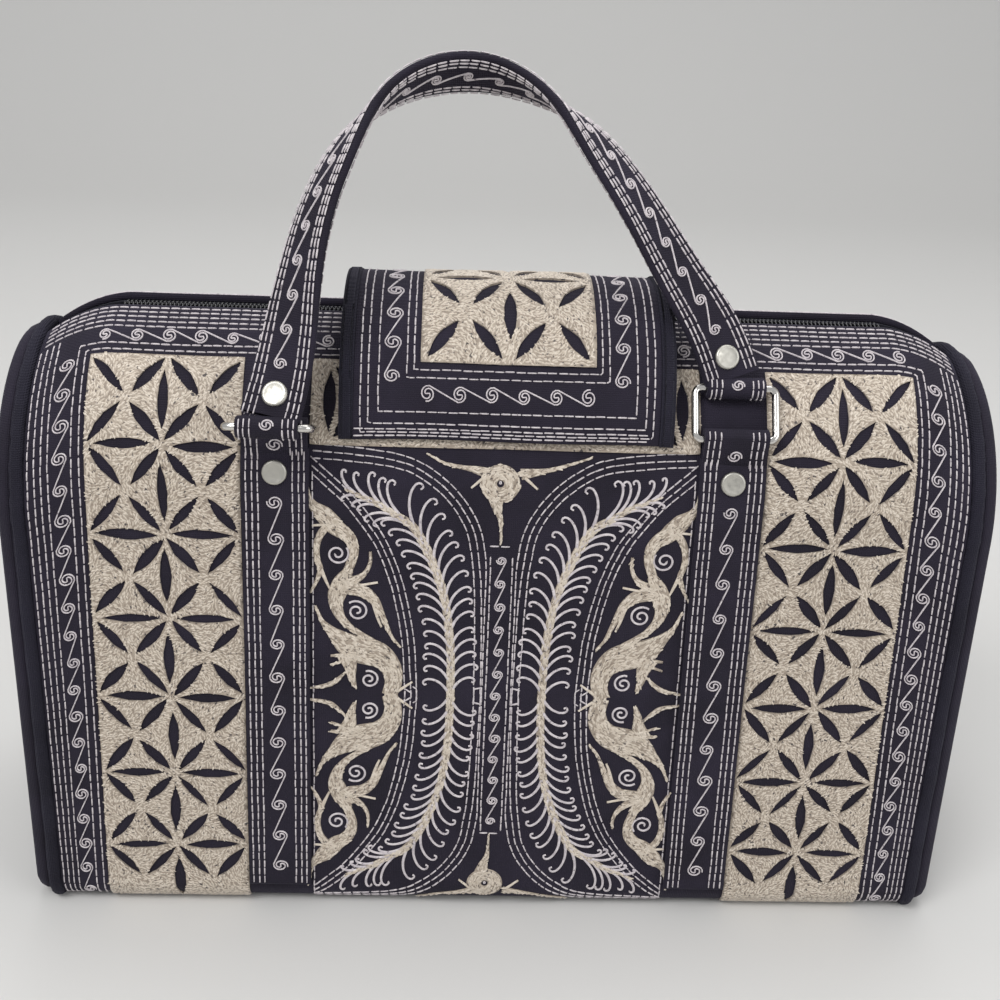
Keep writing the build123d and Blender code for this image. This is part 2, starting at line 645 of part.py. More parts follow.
def make_flap_field():
    """Cream field on the flap with its open petals."""
    sheet = flap_shell(SKIN_GAP + FIELD_THICKNESS, FIELD_THICKNESS, -FLAP_FIELD_HALF, FLAP_FIELD_HALF)
    low = flap_plane(0, FLAP_FIELD_LOW).origin
    high = flap_plane(0, FLAP_FIELD_HIGH).origin
    sheet = sheet - block(-FLAP_WIDTH, FLAP_WIDTH, -BASE_DEPTH, 0, 0, low.Z)
    sheet = sheet - block(-FLAP_WIDTH, FLAP_WIDTH, 0, BASE_DEPTH, 0, high.Z)
    cutters = []

    def cut(x, angle, turn, length):
        outline = Rot(0, 0, turn) * petal_outline(length, PETAL_WIDTH)
        cutters.append(extrude(flap_plane(x, angle) * outline, 2 * FIELD_THICKNESS, both=True))

    half_turn = FLAP_ROW_TURN / 2
    rise = math.radians(half_turn) * FLAP_RADIUS
    slope = math.degrees(math.atan2(rise, FLAP_FIELD_HALF / 2))
    share = 2 * DIAGONAL_SHARE
    for middle in (FLAP_PETAL_ROW, FLAP_PETAL_ROW - FLAP_ROW_TURN):
        cut(0, middle, 90, PETAL_LENGTH)
        for side in (-1, 1):
            centre = side * FLAP_FIELD_HALF / 2
            cut(centre, middle - half_turn, 0, FLAP_PETAL_LENGTH)
            for across in (-1, 1):
                for along in (-1, 1):
                    cut(centre + across * share * FLAP_FIELD_HALF / 2, middle + along * share * half_turn,
                        -across * along * slope, FLAP_DIAGONAL_LENGTH)
    return sheet - cutters


def make_snap():
    """Socket on the front panel and stud inside the flap, facing each other."""
    y, z, angle = surface_point(SNAP_HEIGHT, SKIN_GAP)
    seat = Plane(origin=(0, y, z), x_dir=(1, 0, 0), z_dir=(0, -math.cos(angle), math.sin(angle)))
    disc = Pos(0, 0, SNAP_THICKNESS / 2) * Cylinder(SNAP_DIAMETER / 2, SNAP_THICKNESS)
    dimple = Pos(0, 0, SNAP_THICKNESS) * Cylinder(SNAP_DIAMETER / 6, SNAP_THICKNESS)
    socket = seat * (disc - dimple)
    inner = FLAP_RADIUS - FLAP_THICKNESS
    sag = inner - math.sqrt(inner ** 2 - (SNAP_DIAMETER / 2) ** 2)
    turn = 180 - math.degrees(math.asin((z - FLAP_CENTRE_Z) / inner))
    stud = flap_plane(0, turn, -FLAP_THICKNESS - sag - SKIN_GAP) * (Pos(0, 0, -SNAP_THICKNESS) * disc)
    return socket, stud


# The whole bag, one file for each piece
def all_pieces():
    front, bottom = make_panels()
    tab_hole = rivet_hole(rivet_frame(TAB_RIVET_HEIGHT), TAB_RIVET_DEPTH)
    front = front - tab_hole - mirror(tab_hole, Plane.YZ)
    left_band = make_band() - tab_hole
    left_rivet = make_tab_rivet()
    end = make_end_panel()
    binding = make_binding()
    tape = make_tape()
    lattice = make_lattice()
    slider = make_slider()
    pull = make_pull()
    flap_binding = make_flap_binding()
    socket, stud = make_snap()
    strap, rivets = make_strap(standing_route(), HANDLE_LEAN, HANDLE_TURN)
    back_strap, back_rivets = make_strap(hanging_route(), -HANG_LEAN, HANG_TURN)
    left_ring = make_ring(-BAND_CENTRE, LEFT_RING_ANGLE)
    right_ring = make_ring(BAND_CENTRE, RIGHT_RING_ANGLE)
    back_ring = to_back(make_ring(-BAND_CENTRE, HANG_ANGLE))

    def other(shape):
        return mirror(shape, Plane.YZ)

    return {
        "front_panel": front,
        "back_panel": to_back(front),
        "bottom_panel": bottom,
        "base_board": make_board(),
        "right_end_panel": end,
        "left_end_panel": other(end),
        "right_binding": binding,
        "left_binding": other(binding),
        "zip_tape_front": tape,
        "zip_tape_back": to_back(tape),
        "zip_teeth_front": make_teeth(1),
        "zip_teeth_back": to_back(make_teeth(-1)),
        "right_slider": slider,
        "left_slider": other(slider),
        "right_pull": pull,
        "left_pull": other(pull),
        "front_left_band": left_band,
        "front_right_band": other(left_band),
        "back_left_band": to_back(left_band),
        "back_right_band": to_back(other(left_band)),
        "front_tab_rivets": Compound([left_rivet, other(left_rivet)]),
        "back_tab_rivets": to_back(Compound([left_rivet, other(left_rivet)])),
        "front_rings": Compound([left_ring, right_ring]),
        "back_rings": Compound([back_ring, other(back_ring)]),
        "front_handle": strap,
        "front_handle_rivets": Compound(rivets),
        "back_handle": to_back(back_strap),
        "back_handle_rivets": to_back(Compound(back_rivets)),
        "front_lattice": Compound([lattice, other(lattice)]),
        "back_lattice": to_back(Compound([lattice, other(lattice)])),
        "flap": make_flap_cloth(),
        "flap_left_binding": flap_binding,
        "flap_right_binding": other(flap_binding),
        "flap_lattice": make_flap_field(),
        "snap_socket": socket,
        "snap_stud": stud,
    }


if __name__ == "__main__":
    os.makedirs("parts", exist_ok=True)
    for name, piece in all_pieces().items():
        export_step(piece, f"parts/{name}.step")
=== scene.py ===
import math
import bpy
import numpy as np
from mathutils import Matrix, Vector
from mathutils.geometry import delaunay_2d_cdt


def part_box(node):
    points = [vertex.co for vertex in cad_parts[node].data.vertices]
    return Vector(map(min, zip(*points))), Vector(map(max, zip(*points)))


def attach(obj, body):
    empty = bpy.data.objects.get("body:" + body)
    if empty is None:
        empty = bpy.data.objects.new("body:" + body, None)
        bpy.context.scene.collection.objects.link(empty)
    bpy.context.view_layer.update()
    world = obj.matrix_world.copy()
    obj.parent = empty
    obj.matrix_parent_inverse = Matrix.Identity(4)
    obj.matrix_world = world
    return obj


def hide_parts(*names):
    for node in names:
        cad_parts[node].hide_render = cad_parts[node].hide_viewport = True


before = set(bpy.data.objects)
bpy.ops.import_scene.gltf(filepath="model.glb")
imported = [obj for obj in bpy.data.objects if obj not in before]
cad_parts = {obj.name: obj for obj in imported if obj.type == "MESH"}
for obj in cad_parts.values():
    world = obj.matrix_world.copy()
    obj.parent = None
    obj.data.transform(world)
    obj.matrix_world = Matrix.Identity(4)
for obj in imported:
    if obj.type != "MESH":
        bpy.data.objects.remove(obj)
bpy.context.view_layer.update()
RANDOM = np.random.default_rng(11)

# Everything is worked out in millimetres, in the CAD frame, and written to meshes in metres.
MM = 0.001

# Body, as in the CAD
BODY_LENGTH = 358.0
BODY_HEIGHT = 246.0
BASE_DEPTH = 139.0
LEAN = math.radians(3.64)
CROWN_RADIUS = 66.0
BASE_CORNER = 12.0
CLOTH = 3.0
HALF_LENGTH = BODY_LENGTH / 2
SHOULDER_START = HALF_LENGTH - 29.0
END_DROP = 12.5
BINDING_WIDTH = 5.0
BINDING_END = HALF_LENGTH + BINDING_WIDTH
END_BULGE = 7.5
RIDGE_ROUND = 9.0
ZIP_OPENING = 16.0
PLATE_HALF = BASE_DEPTH / 2 - BASE_CORNER * math.tan(LEAN) - BASE_CORNER / math.cos(LEAN)
TURN_Z = BASE_CORNER + BASE_CORNER * math.sin(LEAN)

# Bands, tabs and embroidered columns
BAND_CENTRE = 85.5
BAND_WIDTH = 25.0
BAND_TOP = 205.0
BAND_FACE = 2.6
BAND_ROWS = (-10.9, -8.9, -6.6, 6.2, 8.4, 10.7)
TAB_ROWS = (-10.5, -8.5, -6.2, 5.8, 8.0, 10.2)
LATTICE_INNER = 98.5
CELL_WIDTH = 28.5
LATTICE_COLUMNS = 2
LATTICE_ROWS = 7
LATTICE_OUTER = LATTICE_INNER + LATTICE_COLUMNS * CELL_WIDTH
LATTICE_START = -16.0
FIELD_FOOT = -13.0
LATTICE_TOP_MARGIN = 36.0
FIELD_HEIGHT = 0.7
FIELD_LIFT = 0.05
FIELD_SKIRT = 0.6
STITCH_STEP = math.sqrt(1.22)
FLARE = 0.022
FLARE_FADE = 18.0
SLACK_HEIGHT = 0.35
SLACK_FADE = 30.0
PETAL_LENGTH = 23.5
PETAL_WIDTH = 5.0
DIAGONAL_LENGTH = 19.0
DIAGONAL_SHARE = 0.26

# Rings, rivets and handles
TAB_HEIGHT = BODY_HEIGHT - 33.0
WIRE = 3.0
LOOP_HOLE = 1.85
LOOP_RADIUS = LOOP_HOLE + 2.2
RING_DROP = 19.7
RING_CORNER = 2.6
RING_WIDTH = BAND_WIDTH + 2 * (RING_CORNER + 0.1)
LEFT_RING_ANGLE = 22.0
RIGHT_RING_ANGLE = 123.0
HANG_ANGLE = -58.0
RIVET_SIDES = 40
TAB_RIVET_HEIGHT = TAB_HEIGHT - 16.0
HANDLE_WIDTH = 22.0
HANDLE_THICKNESS = 3.6
HANDLE_RISE = 121.5
HANDLE_RIVET_OFFSET = 11.5
HANDLE_ROWS = (-9.6, -7.8, -5.8, 5.8, 7.8, 9.6)
STRAP_SIDES = 28
HANG_LENGTH = 120.0
HANG_LEAN = math.radians(9.0)

# Flap and zip
FLAP_WIDTH = 124.0
FLAP_THICKNESS = 2.5
FLAP_BINDING_WIDTH = 5.0
FLAP_RADIUS = 49.0
FLAP_FOOT = 210.0
FLAP_FIELD_HALF = 32.3
COIL_PITCH = 1.6

# Thread
THREAD = 0.56
DASH_LENGTH = 3.5
DASH_PITCH = 3.9
SCROLL_PITCH = 12.4
SCROLL_RADIUS = 2.6
BAND_SCROLL_PITCH = 14.3
MIDDLE = 91.0
ROUTE_STEP = 0.8
THIN_LEAF = 2.0
LEAF_HEIGHT = 0.55
LEAF_LIFT = 0.4
LEAF_STITCH_AREA = 1.05
BLOSSOM_STITCHES = 190


# Shapes of the bag
def crown_centre(height):
    """Centre (y, z) of the crown arc on the back half of a section with this ridge height."""
    across = BASE_DEPTH / 2 * math.cos(LEAN) - CROWN_RADIUS
    offset = across - height * math.sin(LEAN)
    along = height * math.cos(LEAN) - np.sqrt(CROWN_RADIUS ** 2 - offset ** 2)
    return (across * math.cos(LEAN) - along * math.sin(LEAN),
            across * math.sin(LEAN) + along * math.cos(LEAN))


def arc_lengths(crown_y, crown_z):
    """Arc length from the turn at the foot to the shoulder, and on to the ridge."""
    straight = (crown_z + CROWN_RADIUS * math.sin(LEAN) - TURN_Z) / math.cos(LEAN)
    return straight, straight + CROWN_RADIUS * (np.arccos(-crown_y / CROWN_RADIUS) - LEAN)


CROWN_Y, CROWN_Z = crown_centre(BODY_HEIGHT)
STRAIGHT, WHOLE = arc_lengths(CROWN_Y, CROWN_Z)
ZIP_EDGE = STRAIGHT + CROWN_RADIUS * (math.acos((ZIP_OPENING / 2 - CROWN_Y) / CROWN_RADIUS) - LEAN)
CORNER_LENGTH = BASE_CORNER * (LEAN + math.pi / 2)
ROW_PITCH = (WHOLE - LATTICE_TOP_MARGIN - LATTICE_START) / LATTICE_ROWS
FIELD_TOP = LATTICE_START + LATTICE_ROWS * ROW_PITCH


def shoulder_drop(x):
    """How far the ridge has sunk at x, towards the ends of the bag."""
    beyond = np.maximum(0.0, np.abs(x) - SHOULDER_START)
    return beyond * (0.0969 + 0.01152 * beyond)


def slack(x, s):
    """Small waves of the cloth, the same left and right, none at its edges."""
    x = np.abs(x)
    fade = SLACK_HEIGHT
    for inwards in (s + 8, ZIP_EDGE - s, HALF_LENGTH - x):
        fade = fade * np.clip(inwards / SLACK_FADE, 0, 1)
    waves = np.sin(x / 19 + s / 43) * np.cos(s / 27 - x / 61) + 0.6 * np.sin(x / 11 - s / 17 + 1)
    return fade * waves


def panel(x, s, out):
    """Point of the front panel at x and arc length s from its foot, and a distance out."""
    x, s, out = np.broadcast_arrays(x, s, out)
    crown_y, crown_z = crown_centre(BODY_HEIGHT - shoulder_drop(x))
    straight, whole = arc_lengths(crown_y, crown_z)
    along = np.where(s > 0, s * whole / WHOLE, s)
    angle = LEAN + np.where(along < 0, along / BASE_CORNER, np.maximum(0, along - straight) / CROWN_RADIUS)
    out = out + slack(x, s)
    spread = FLARE * np.clip(1 - s / STRAIGHT, 0, 1.1) * np.clip((HALF_LENGTH - np.abs(x)) / FLARE_FADE, 0, 1)
    x = x * (1 + spread)
    corner_y = -PLATE_HALF - BASE_CORNER * np.cos(angle)
    corner_z = BASE_CORNER + BASE_CORNER * np.sin(angle)
    line_y = -PLATE_HALF - BASE_CORNER * math.cos(LEAN) + along * math.sin(LEAN)
    line_z = TURN_Z + along * math.cos(LEAN)
    over_y = -crown_y - CROWN_RADIUS * np.cos(angle)
    over_z = crown_z + CROWN_RADIUS * np.sin(angle)
    y = np.where(along < 0, corner_y, np.where(along > straight, over_y, line_y))
    z = np.where(along < 0, corner_z, np.where(along > straight, over_z, line_z))
    return np.stack([x, y - out * np.cos(angle), z + out * np.sin(angle)], -1)


def panel_arc(z):
    """Arc length at which the front panel reaches height z, away from the shoulders."""
    angle = math.asin((z - CROWN_Z) / CROWN_RADIUS)
    return STRAIGHT + CROWN_RADIUS * (angle - LEAN)


def surface_point(z, out):
    """Point (y, z) at a distance out from the front panel, at height z, with its normal's angle."""
    y = -CROWN_Y - math.sqrt((CROWN_RADIUS + out) ** 2 - (z - CROWN_Z) ** 2)
    return y, z, math.atan2(z - CROWN_Z, -CROWN_Y - y)


TAB_Y, TAB_Z, TAB_ANGLE = surface_point(TAB_HEIGHT, 0.1 + LOOP_RADIUS)
FLAP_CENTRE_Y = surface_point(FLAP_FOOT, 3.8)[0] + FLAP_RADIUS


def flap_surface(x, s, out):
    """Point of the flap at x and arc length s up from its foot, over the zip and down behind."""
    x, s, out = np.broadcast_arrays(x, s, out)
    angle = math.pi - s / FLAP_RADIUS
    low = np.clip(1 - s / 26, 0, 1)
    wave = 0.5 * np.sin(x / 13 + 0.6) * low + 1.3 * low ** 2 * (np.abs(x) / 62) ** 6
    wave = wave + 0.25 * np.sin(x / 17 - s / 15)
    radius = FLAP_RADIUS + out + wave
    return np.stack([x, FLAP_CENTRE_Y + radius * np.cos(angle), FLAP_FOOT + radius * np.sin(angle)], -1)


# Meshes
class Batch:
    """Points in millimetres and faces of one mesh, gathered piece by piece."""

    def __init__(self):
        self.points = []
        self.faces = []
        self.finishes = []
        self.count = 0

    def add(self, points, faces, finish=0):
        points = np.asarray(points, float).reshape(-1, 3)
        found = [np.asarray(f, int).reshape(len(f), -1) + self.count for f in faces if len(f)]
        self.faces += found
        self.finishes += [finish] * len(found)
        self.points.append(points)
        self.count += len(points)
        return self

    def mirrored(self, axis):
        """Copy on the other side of the bag, with its faces turned back to face out."""
        other = Batch()
        scale = np.ones(3)
        scale[axis] = -1
        other.points = [points * scale for points in self.points]
        other.faces = [faces[:, ::-1] for faces in self.faces]
        other.finishes = list(self.finishes)
        other.count = self.count
        return other

    def join(self, other):
        for faces in other.faces:
            self.faces.append(faces + self.count)
        self.finishes += other.finishes
        self.points += other.points
        self.count += other.count
        return self


def make_piece(name, batch, materials, body, slot, replaces=()):
    """Mesh object from a batch, riding on a CAD body in place of the nodes it replaces."""
    points = np.concatenate(batch.points) * MM
    mesh = bpy.data.meshes.new(name)
    mesh.vertices.add(len(points))
    mesh.vertices.foreach_set("co", points.ravel())
    corners = np.concatenate([faces.ravel() for faces in batch.faces])
    sizes = np.concatenate([np.full(len(faces), faces.shape[1]) for faces in batch.faces])
    finishes = [np.full(len(faces), finish) for faces, finish in zip(batch.faces, batch.finishes)]
    mesh.loops.add(len(corners))
    mesh.loops.foreach_set("vertex_index", corners)
    mesh.polygons.add(len(sizes))
    fields = {"loop_start": np.cumsum(sizes) - sizes, "loop_total": sizes,
              "use_smooth": np.full(len(sizes), True), "material_index": np.concatenate(finishes)}
    for field, values in fields.items():
        mesh.polygons.foreach_set(field, values)
    mesh.update(calc_edges=True)
    mesh.validate()
    obj = bpy.data.objects.new(name, mesh)
    bpy.context.scene.collection.objects.link(obj)
    for material in materials if isinstance(materials, tuple) else (materials,):
        mesh.materials.append(material)
    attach(obj, body)
    if replaces:
        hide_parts(*replaces)


def make_pair(name, batch, materials, slot, replaced=None, sides=("front", "back"), axis=1):
    """A piece of the bag and its mirror image, with the side's name in place of {} in each name."""
    for side, made in zip(sides, (batch, batch.mirrored(axis))):
        nodes = [replaced.format(side)] if replaced else ()
        make_piece(name.format(side), made, materials, "bag", slot, nodes)


def grid_faces(rows, columns, closed_rows=False, closed_columns=False, flip=False):
    """Quads of a grid of points numbered row by row."""
    i, j = np.meshgrid(np.arange(rows if closed_rows else rows - 1),
                       np.arange(columns if closed_columns else columns - 1), indexing="ij")
    i2 = (i + 1) % rows
    j2 = (j + 1) % columns
    quads = np.stack([i * columns + j, i * columns + j2, i2 * columns + j2, i2 * columns + j], -1)
    return quads.reshape(-1, 4)[:, ::-1] if flip else quads.reshape(-1, 4)


def thick_sheet(batch, surface, across, along, low, high, rim=0.8):
    """Closed sheet between two distances out from a surface, its rim rounded over."""
    span = high - low
    round_in = min(rim, span / 2)
    stops = []
    for line in (across, along):
        line = np.concatenate([[line[0], line[0]], line, [line[-1], line[-1]]])
        line[2] = line[0] + round_in
        line[-3] = line[-1] - round_in
        stops.append(line)
    columns, rows = (len(line) for line in stops)
    edge_x = np.minimum(np.arange(columns), columns - 1 - np.arange(columns))
    edge_s = np.minimum(np.arange(rows), rows - 1 - np.arange(rows))
    edge = np.minimum(edge_x[None, :], edge_s[:, None])
    grid = np.meshgrid(*stops)
    levels = [np.where(edge == 0, low + span / 2, np.where(edge == 1, level - drop, level))
              for level, drop in ((high, round_in * 0.35), (low, -round_in * 0.35))]
    batch.add([surface(*grid, level) for level in levels],
              [grid_faces(rows, columns), grid_faces(rows, columns, flip=True) + rows * columns])


def spaced(start, end, step):
    """Even stops from start to end, about step apart."""
    return np.linspace(start, end, max(2, int(round((end - start) / step)) + 1))


# Threads and fields of stitches
def unit(vectors):
    """Vectors brought to a length of one."""
    return vectors / np.maximum(np.linalg.norm(vectors, axis=-1, keepdims=True), 1e-6)


def arc(points):
    """Length along a line up to each of its points."""
    return np.concatenate([[0], np.cumsum(np.linalg.norm(np.diff(points, axis=0), axis=1))])


def read_off(at, lengths, values):
    """Rows of values given along a line, read off at these lengths."""
    return np.stack([np.interp(at, lengths, column) for column in values.T], -1)


def polar(angle):
    """Plane direction of an angle."""
    return np.stack([np.cos(angle), np.sin(angle)], -1)


def left_of(ahead):
    """Plane directions turned a quarter to the left."""
    return np.stack([-ahead[..., 1], ahead[..., 0]], -1)


def heading(route):
    """Unit directions along a plane route, and to its left."""
    ahead = unit(np.gradient(route, axis=0))
    return ahead, left_of(ahead)


# Sections of thread: share of half the width, share of the height.
ROUND_TOP = ((-1.0, 0.0), (-0.55, 0.85), (0.55, 0.85), (1.0, 0.0))
RIDGE = ((-1.0, 0.0), (0.0, 1.0), (1.0, 0.0))
# Shares of a short stitch: of its length, of its width there, and of its height there.
STITCH_STOPS = np.array([-0.5, 0.0, 0.5])
STITCH_WIDTHS = np.array([0.4, 1.0, 0.4])
STITCH_HEIGHTS = np.array([0.1, 1.0, 0.1])
# The same for a dash of the running stitch.
DASH_STOPS = np.array([0.0, 0.08, 0.5, 0.92, 1.0])
DASH_WIDTHS = np.array([0.3, 0.95, 1.0, 0.95, 0.3])
DASH_HEIGHTS = np.array([0.05, 0.42, 0.52, 0.42, 0.05])


def strips(batch, surface, paths, tangent, widths, heights, lift, finish, section):
    """Threads along many paths (m, n, 2) on a surface, all with n points and one section."""
    m, n, _ = paths.shape
    shares, rises = np.array(section).T
    count = len(shares)
    side = left_of(tangent) * np.broadcast_to(widths, (m, n))[..., None] / 2
    place = paths[:, :, None, :] + side[:, :, None, :] * shares[:, None]
    out = lift + np.broadcast_to(heights, (m, n))[..., None] * rises
    faces = grid_faces(n, count) + (np.arange(m) * n * count)[:, None, None]
    batch.add(surface(place[..., 0], place[..., 1], out), [faces.reshape(-1, 4)], finish)


def ribbons(batch, surface, paths, widths, heights, lift=0.0, finish=0):
    """Round-topped threads along many paths."""
    strips(batch, surface, paths, unit(np.gradient(paths, axis=1)), widths, heights, lift, finish, ROUND_TOP)


def short_stitches(batch, surface, middles, ahead, lengths, widths, heights, lift):
    """Single stitches with one ridge, in their thousands."""
    paths = middles[:, None] + ahead[:, None] * (lengths * STITCH_STOPS)[..., None]
    tangent = unit(paths[:, -1] - paths[:, 0])[:, None]
    strips(batch, surface, paths, tangent, widths * STITCH_WIDTHS, heights * STITCH_HEIGHTS, lift, 0, RIDGE)


def dashes(batch, surface, route, lift=0.0):
    """Running stitch along a route of (x, s) points, dash after dash."""
    route = np.asarray(route, float)
    lengths = arc(route)
    count = int(lengths[-1] / DASH_PITCH)
    if count < 1:
        return
    begin = np.arange(count) * DASH_PITCH + RANDOM.uniform(-0.2, 0.2, count)
    paths = read_off(begin[:, None] + DASH_STOPS * DASH_LENGTH, lengths, route)
    paths = paths + RANDOM.uniform(-0.1, 0.1, (count, 1, 2))
    widths = THREAD * RANDOM.uniform(0.85, 1.15, (count, 1)) * DASH_WIDTHS
    ribbons(batch, surface, paths, widths, DASH_HEIGHTS, lift)


def scrolls(batch, surface, start, end, lift=0.0, pitch=SCROLL_PITCH, radius=SCROLL_RADIUS):
    """Row of linked double scrolls from start to end, as the couched line between the dashes."""
    start = np.asarray(start, float)
    length = np.linalg.norm(end - start)
    count = max(1, int(round(length / pitch)))
    ahead = (end - start) / length
    q = np.linspace(-1, 1, 25)
    angle = -0.42 * math.pi - 1.75 * math.pi * (1 - np.abs(q))
    reach = radius * np.abs(q) ** 0.5 * np.sign(q)
    curl = reach[:, None] * polar(angle) * (0.95, 1.08)
    route = []
    for i in range(count):
        local = curl * RANDOM.uniform(0.9, 1.1) + [(i + 0.5) * length / count, RANDOM.uniform(-0.35, 0.35)]
        if route:
            last = route[-1]
            route += [last + (local[0] - last) * share for share in (0.33, 0.67)]
        route += list(local)
    route = np.array(route)
    path = start + route[:, :1] * ahead - route[:, 1:] * left_of(ahead)
    ribbons(batch, surface, path[None], THREAD, 0.5, lift)


def smooth_route(points, step=1.2):
    """Smooth curve through given points, as evenly spaced points."""
    points = np.asarray(points, float)
    if len(points) < 3:
        knots = np.linspace(0, 1, max(2, int(np.linalg.norm(points[-1] - points[0]) / step) + 1))
        return points[0] + (points[-1] - points[0]) * knots[:, None]
    padded = np.concatenate([[2 * points[0] - points[1]], points, [2 * points[-1] - points[-2]]])
    found = []
    for i in range(1, len(padded) - 2):
        a, b, c, d = padded[i - 1:i + 3]
        count = max(2, int(np.linalg.norm(c - b) / step))
        t = np.linspace(0, 1, count, endpoint=False)[:, None]
        found.append(0.5 * (2 * b + (c - a) * t + (2 * a - 5 * b + 4 * c - d) * t ** 2
                            + (3 * b - a - 3 * c + d) * t ** 3))
    found.append(points[-1:])
    return np.concatenate(found)


def flow(x, s):
    """Direction of the filling stitches, winding slowly over the field."""
    return 1.3 * np.sin(x / 8.5 + 1.7 * np.cos(s / 15)) + 1.2 * np.cos(s / 10.5 + x / 23)


def filling(batch, surface, x, s, lift):
    """Short filling stitches at these places."""
    n = len(x)
    angle = flow(x, s) + RANDOM.normal(0, 0.42, n)
    lengths = RANDOM.uniform(1.35, 2.0, (n, 1))
    short_stitches(batch, surface, np.stack([x, s], -1), polar(angle), lengths,
                   RANDOM.uniform(0.62, 0.86, (n, 1)), RANDOM.uniform(0.3, 0.5, (n, 1)), lift)


def scattered(x0, x1, s0, s1):
    """Jittered places for stitches over a rectangle."""
    stops = [np.arange(low + STITCH_STEP / 2, high, STITCH_STEP) for low, high in ((x0, x1), (s0, s1))]
    return [grid.ravel() + RANDOM.uniform(-0.5, 0.5, grid.size) * STITCH_STEP for grid in np.meshgrid(*stops)]


def inside_petal(x, s, petals, grow=0.0):
    """Which places lie in an open petal."""
    found = np.zeros(np.shape(x), bool)
    for centre_x, centre_s, angle, length, width in petals:
        a = math.radians(angle)
        u = (x - centre_x) * math.cos(a) + (s - centre_s) * math.sin(a)
        v = -(x - centre_x) * math.sin(a) + (s - centre_s) * math.cos(a)
        half = length / 2 + grow
        found |= (np.abs(u) < half) & (np.abs(v) < (width / 2 + grow) * (1 - (u / half) ** 2))
    return found


def petal_ring(petal):
    """Outline of a petal, slightly ragged."""
    *centre, angle, length, width = petal
    t = np.linspace(-1, 1, 9)
    half = width / 2 * (1 - t ** 2)
    u = np.concatenate([t, t[::-1][1:-1]]) * length / 2
    v = np.concatenate([half, -half[::-1][1:-1]])
    v = v + np.sign(v) * RANDOM.uniform(-0.25, 0.1, len(v))
    ahead = polar(math.radians(angle))
    return centre + u[:, None] * ahead + v[:, None] * left_of(ahead)


def cream_field(batch, surface, x0, x1, s0, s1, petals):
    """Raised field of filling stitches with petals left open down to the ground."""
    edges = []
    points = []

    def ring(outline):
        first = len(points)
        points.extend(Vector(p) for p in outline)
        count = len(outline)
        edges.extend((first + k, first + (k + 1) % count) for k in range(count))
        return first, count

    xs = spaced(x0, x1, 2.2)
    ss = spaced(s0, s1, 2.2)
    jitter = RANDOM.uniform(-0.15, 0.15, 2 * (len(xs) + len(ss)))
    border = [(x, s0 + jitter[i]) for i, x in enumerate(xs)]
    border += [(x1 + jitter[len(xs) + i], s) for i, s in enumerate(ss[1:])]
    border += [(x, s1 + jitter[i]) for i, x in enumerate(xs[::-1][1:])]
    border += [(x0 + jitter[len(xs) + i], s) for i, s in enumerate(ss[::-1][1:-1])]
    outer = ring(border)
    rings = [ring(petal_ring(petal)) for petal in petals]
    gx, gs = np.meshgrid(spaced(x0, x1, 3.4)[1:-1], spaced(s0, s1, 3.4)[1:-1])
    free = ~inside_petal(gx, gs, petals, 0.6)
    points.extend(Vector(p) for p in zip(gx[free], gs[free]))
    found = delaunay_2d_cdt(points, edges, [], 0, 1e-5)
    flat = np.array([tuple(p) for p in found[0]])
    triangles = np.array([f for f in found[2] if len(f) == 3])
    middle = flat[triangles].mean(axis=1)
    keep = ~inside_petal(middle[:, 0], middle[:, 1], petals, -0.12)
    top = FIELD_LIFT + FIELD_HEIGHT
    # Top and rim of the field take finish 1, the darker cream of painted shade under the stitches.
    batch.add(surface(flat[:, 0], flat[:, 1], top), [triangles[keep]], 1)
    for first, count in [outer] + rings:
        loop = np.array([tuple(p) for p in points[first:first + count]])
        levels = [surface(loop[:, 0], loop[:, 1], level) for level in (FIELD_LIFT - FIELD_SKIRT, top)]
        batch.add(levels, [grid_faces(2, count, closed_columns=True, flip=first != 0)], 1)
    x, s = scattered(x0 + 0.6, x1 - 0.6, s0 + 0.6, s1 - 0.6)
    free = ~inside_petal(x, s, petals, 0.25)
    filling(batch, surface, x[free], s[free], top - 0.05)


# Materials
def new_material(name, colour, roughness, metallic=0.0, sheen=0.0, coat=0.0):
    material = bpy.data.materials.new(name)
    material.use_nodes = True
    shader = material.node_tree.nodes["Principled BSDF"]
    shader.inputs["Base Color"].default_value = (*colour, 1)
    shader.inputs["Roughness"].default_value = roughness
    shader.inputs["Metallic"].default_value = metallic
    shader.inputs["Sheen Weight"].default_value = sheen
    shader.inputs["Coat Weight"].default_value = coat
    return material, shader


def link(material, source, target):
    material.node_tree.links.new(source, target)


def node(material, kind, **values):
    """Node with these settings; an output given for an input is linked to it."""
    made = material.node_tree.nodes.new(kind)
    for name, value in values.items():
        if isinstance(value, bpy.types.NodeSocket):
            link(material, value, made.inputs[name])
        elif name in made.inputs:
            made.inputs[name].default_value = value
        else:
            setattr(made, name, value)
    return made


def texture(material, kind, **values):
    """Texture node in the piece's own coordinates."""
    place = node(material, "ShaderNodeTexCoord").outputs["Object"]
    return node(material, kind, Vector=place, **values).outputs["Fac"]


def noise(material, scale, detail=3.0):
    return texture(material, "ShaderNodeTexNoise", Scale=scale, Detail=detail, Roughness=0.55)


def ramp(material, source, stops):
    made = node(material, "ShaderNodeValToRGB", Fac=source)
    for element, (place, colour) in zip(made.color_ramp.elements, stops):
        element.position = place
        element.color = (*colour, 1)
    return made.outputs["Color"]


def wave(material, direction):
    return texture(material, "ShaderNodeTexWave", Scale=420, Distortion=0.6, Detail=2.0,
                   bands_direction=direction)


def total(material, first, second):
    made = node(material, "ShaderNodeMath", operation="ADD")
    link(material, first, made.inputs[0])
    link(material, second, made.inputs[1])
    return made.outputs[0]


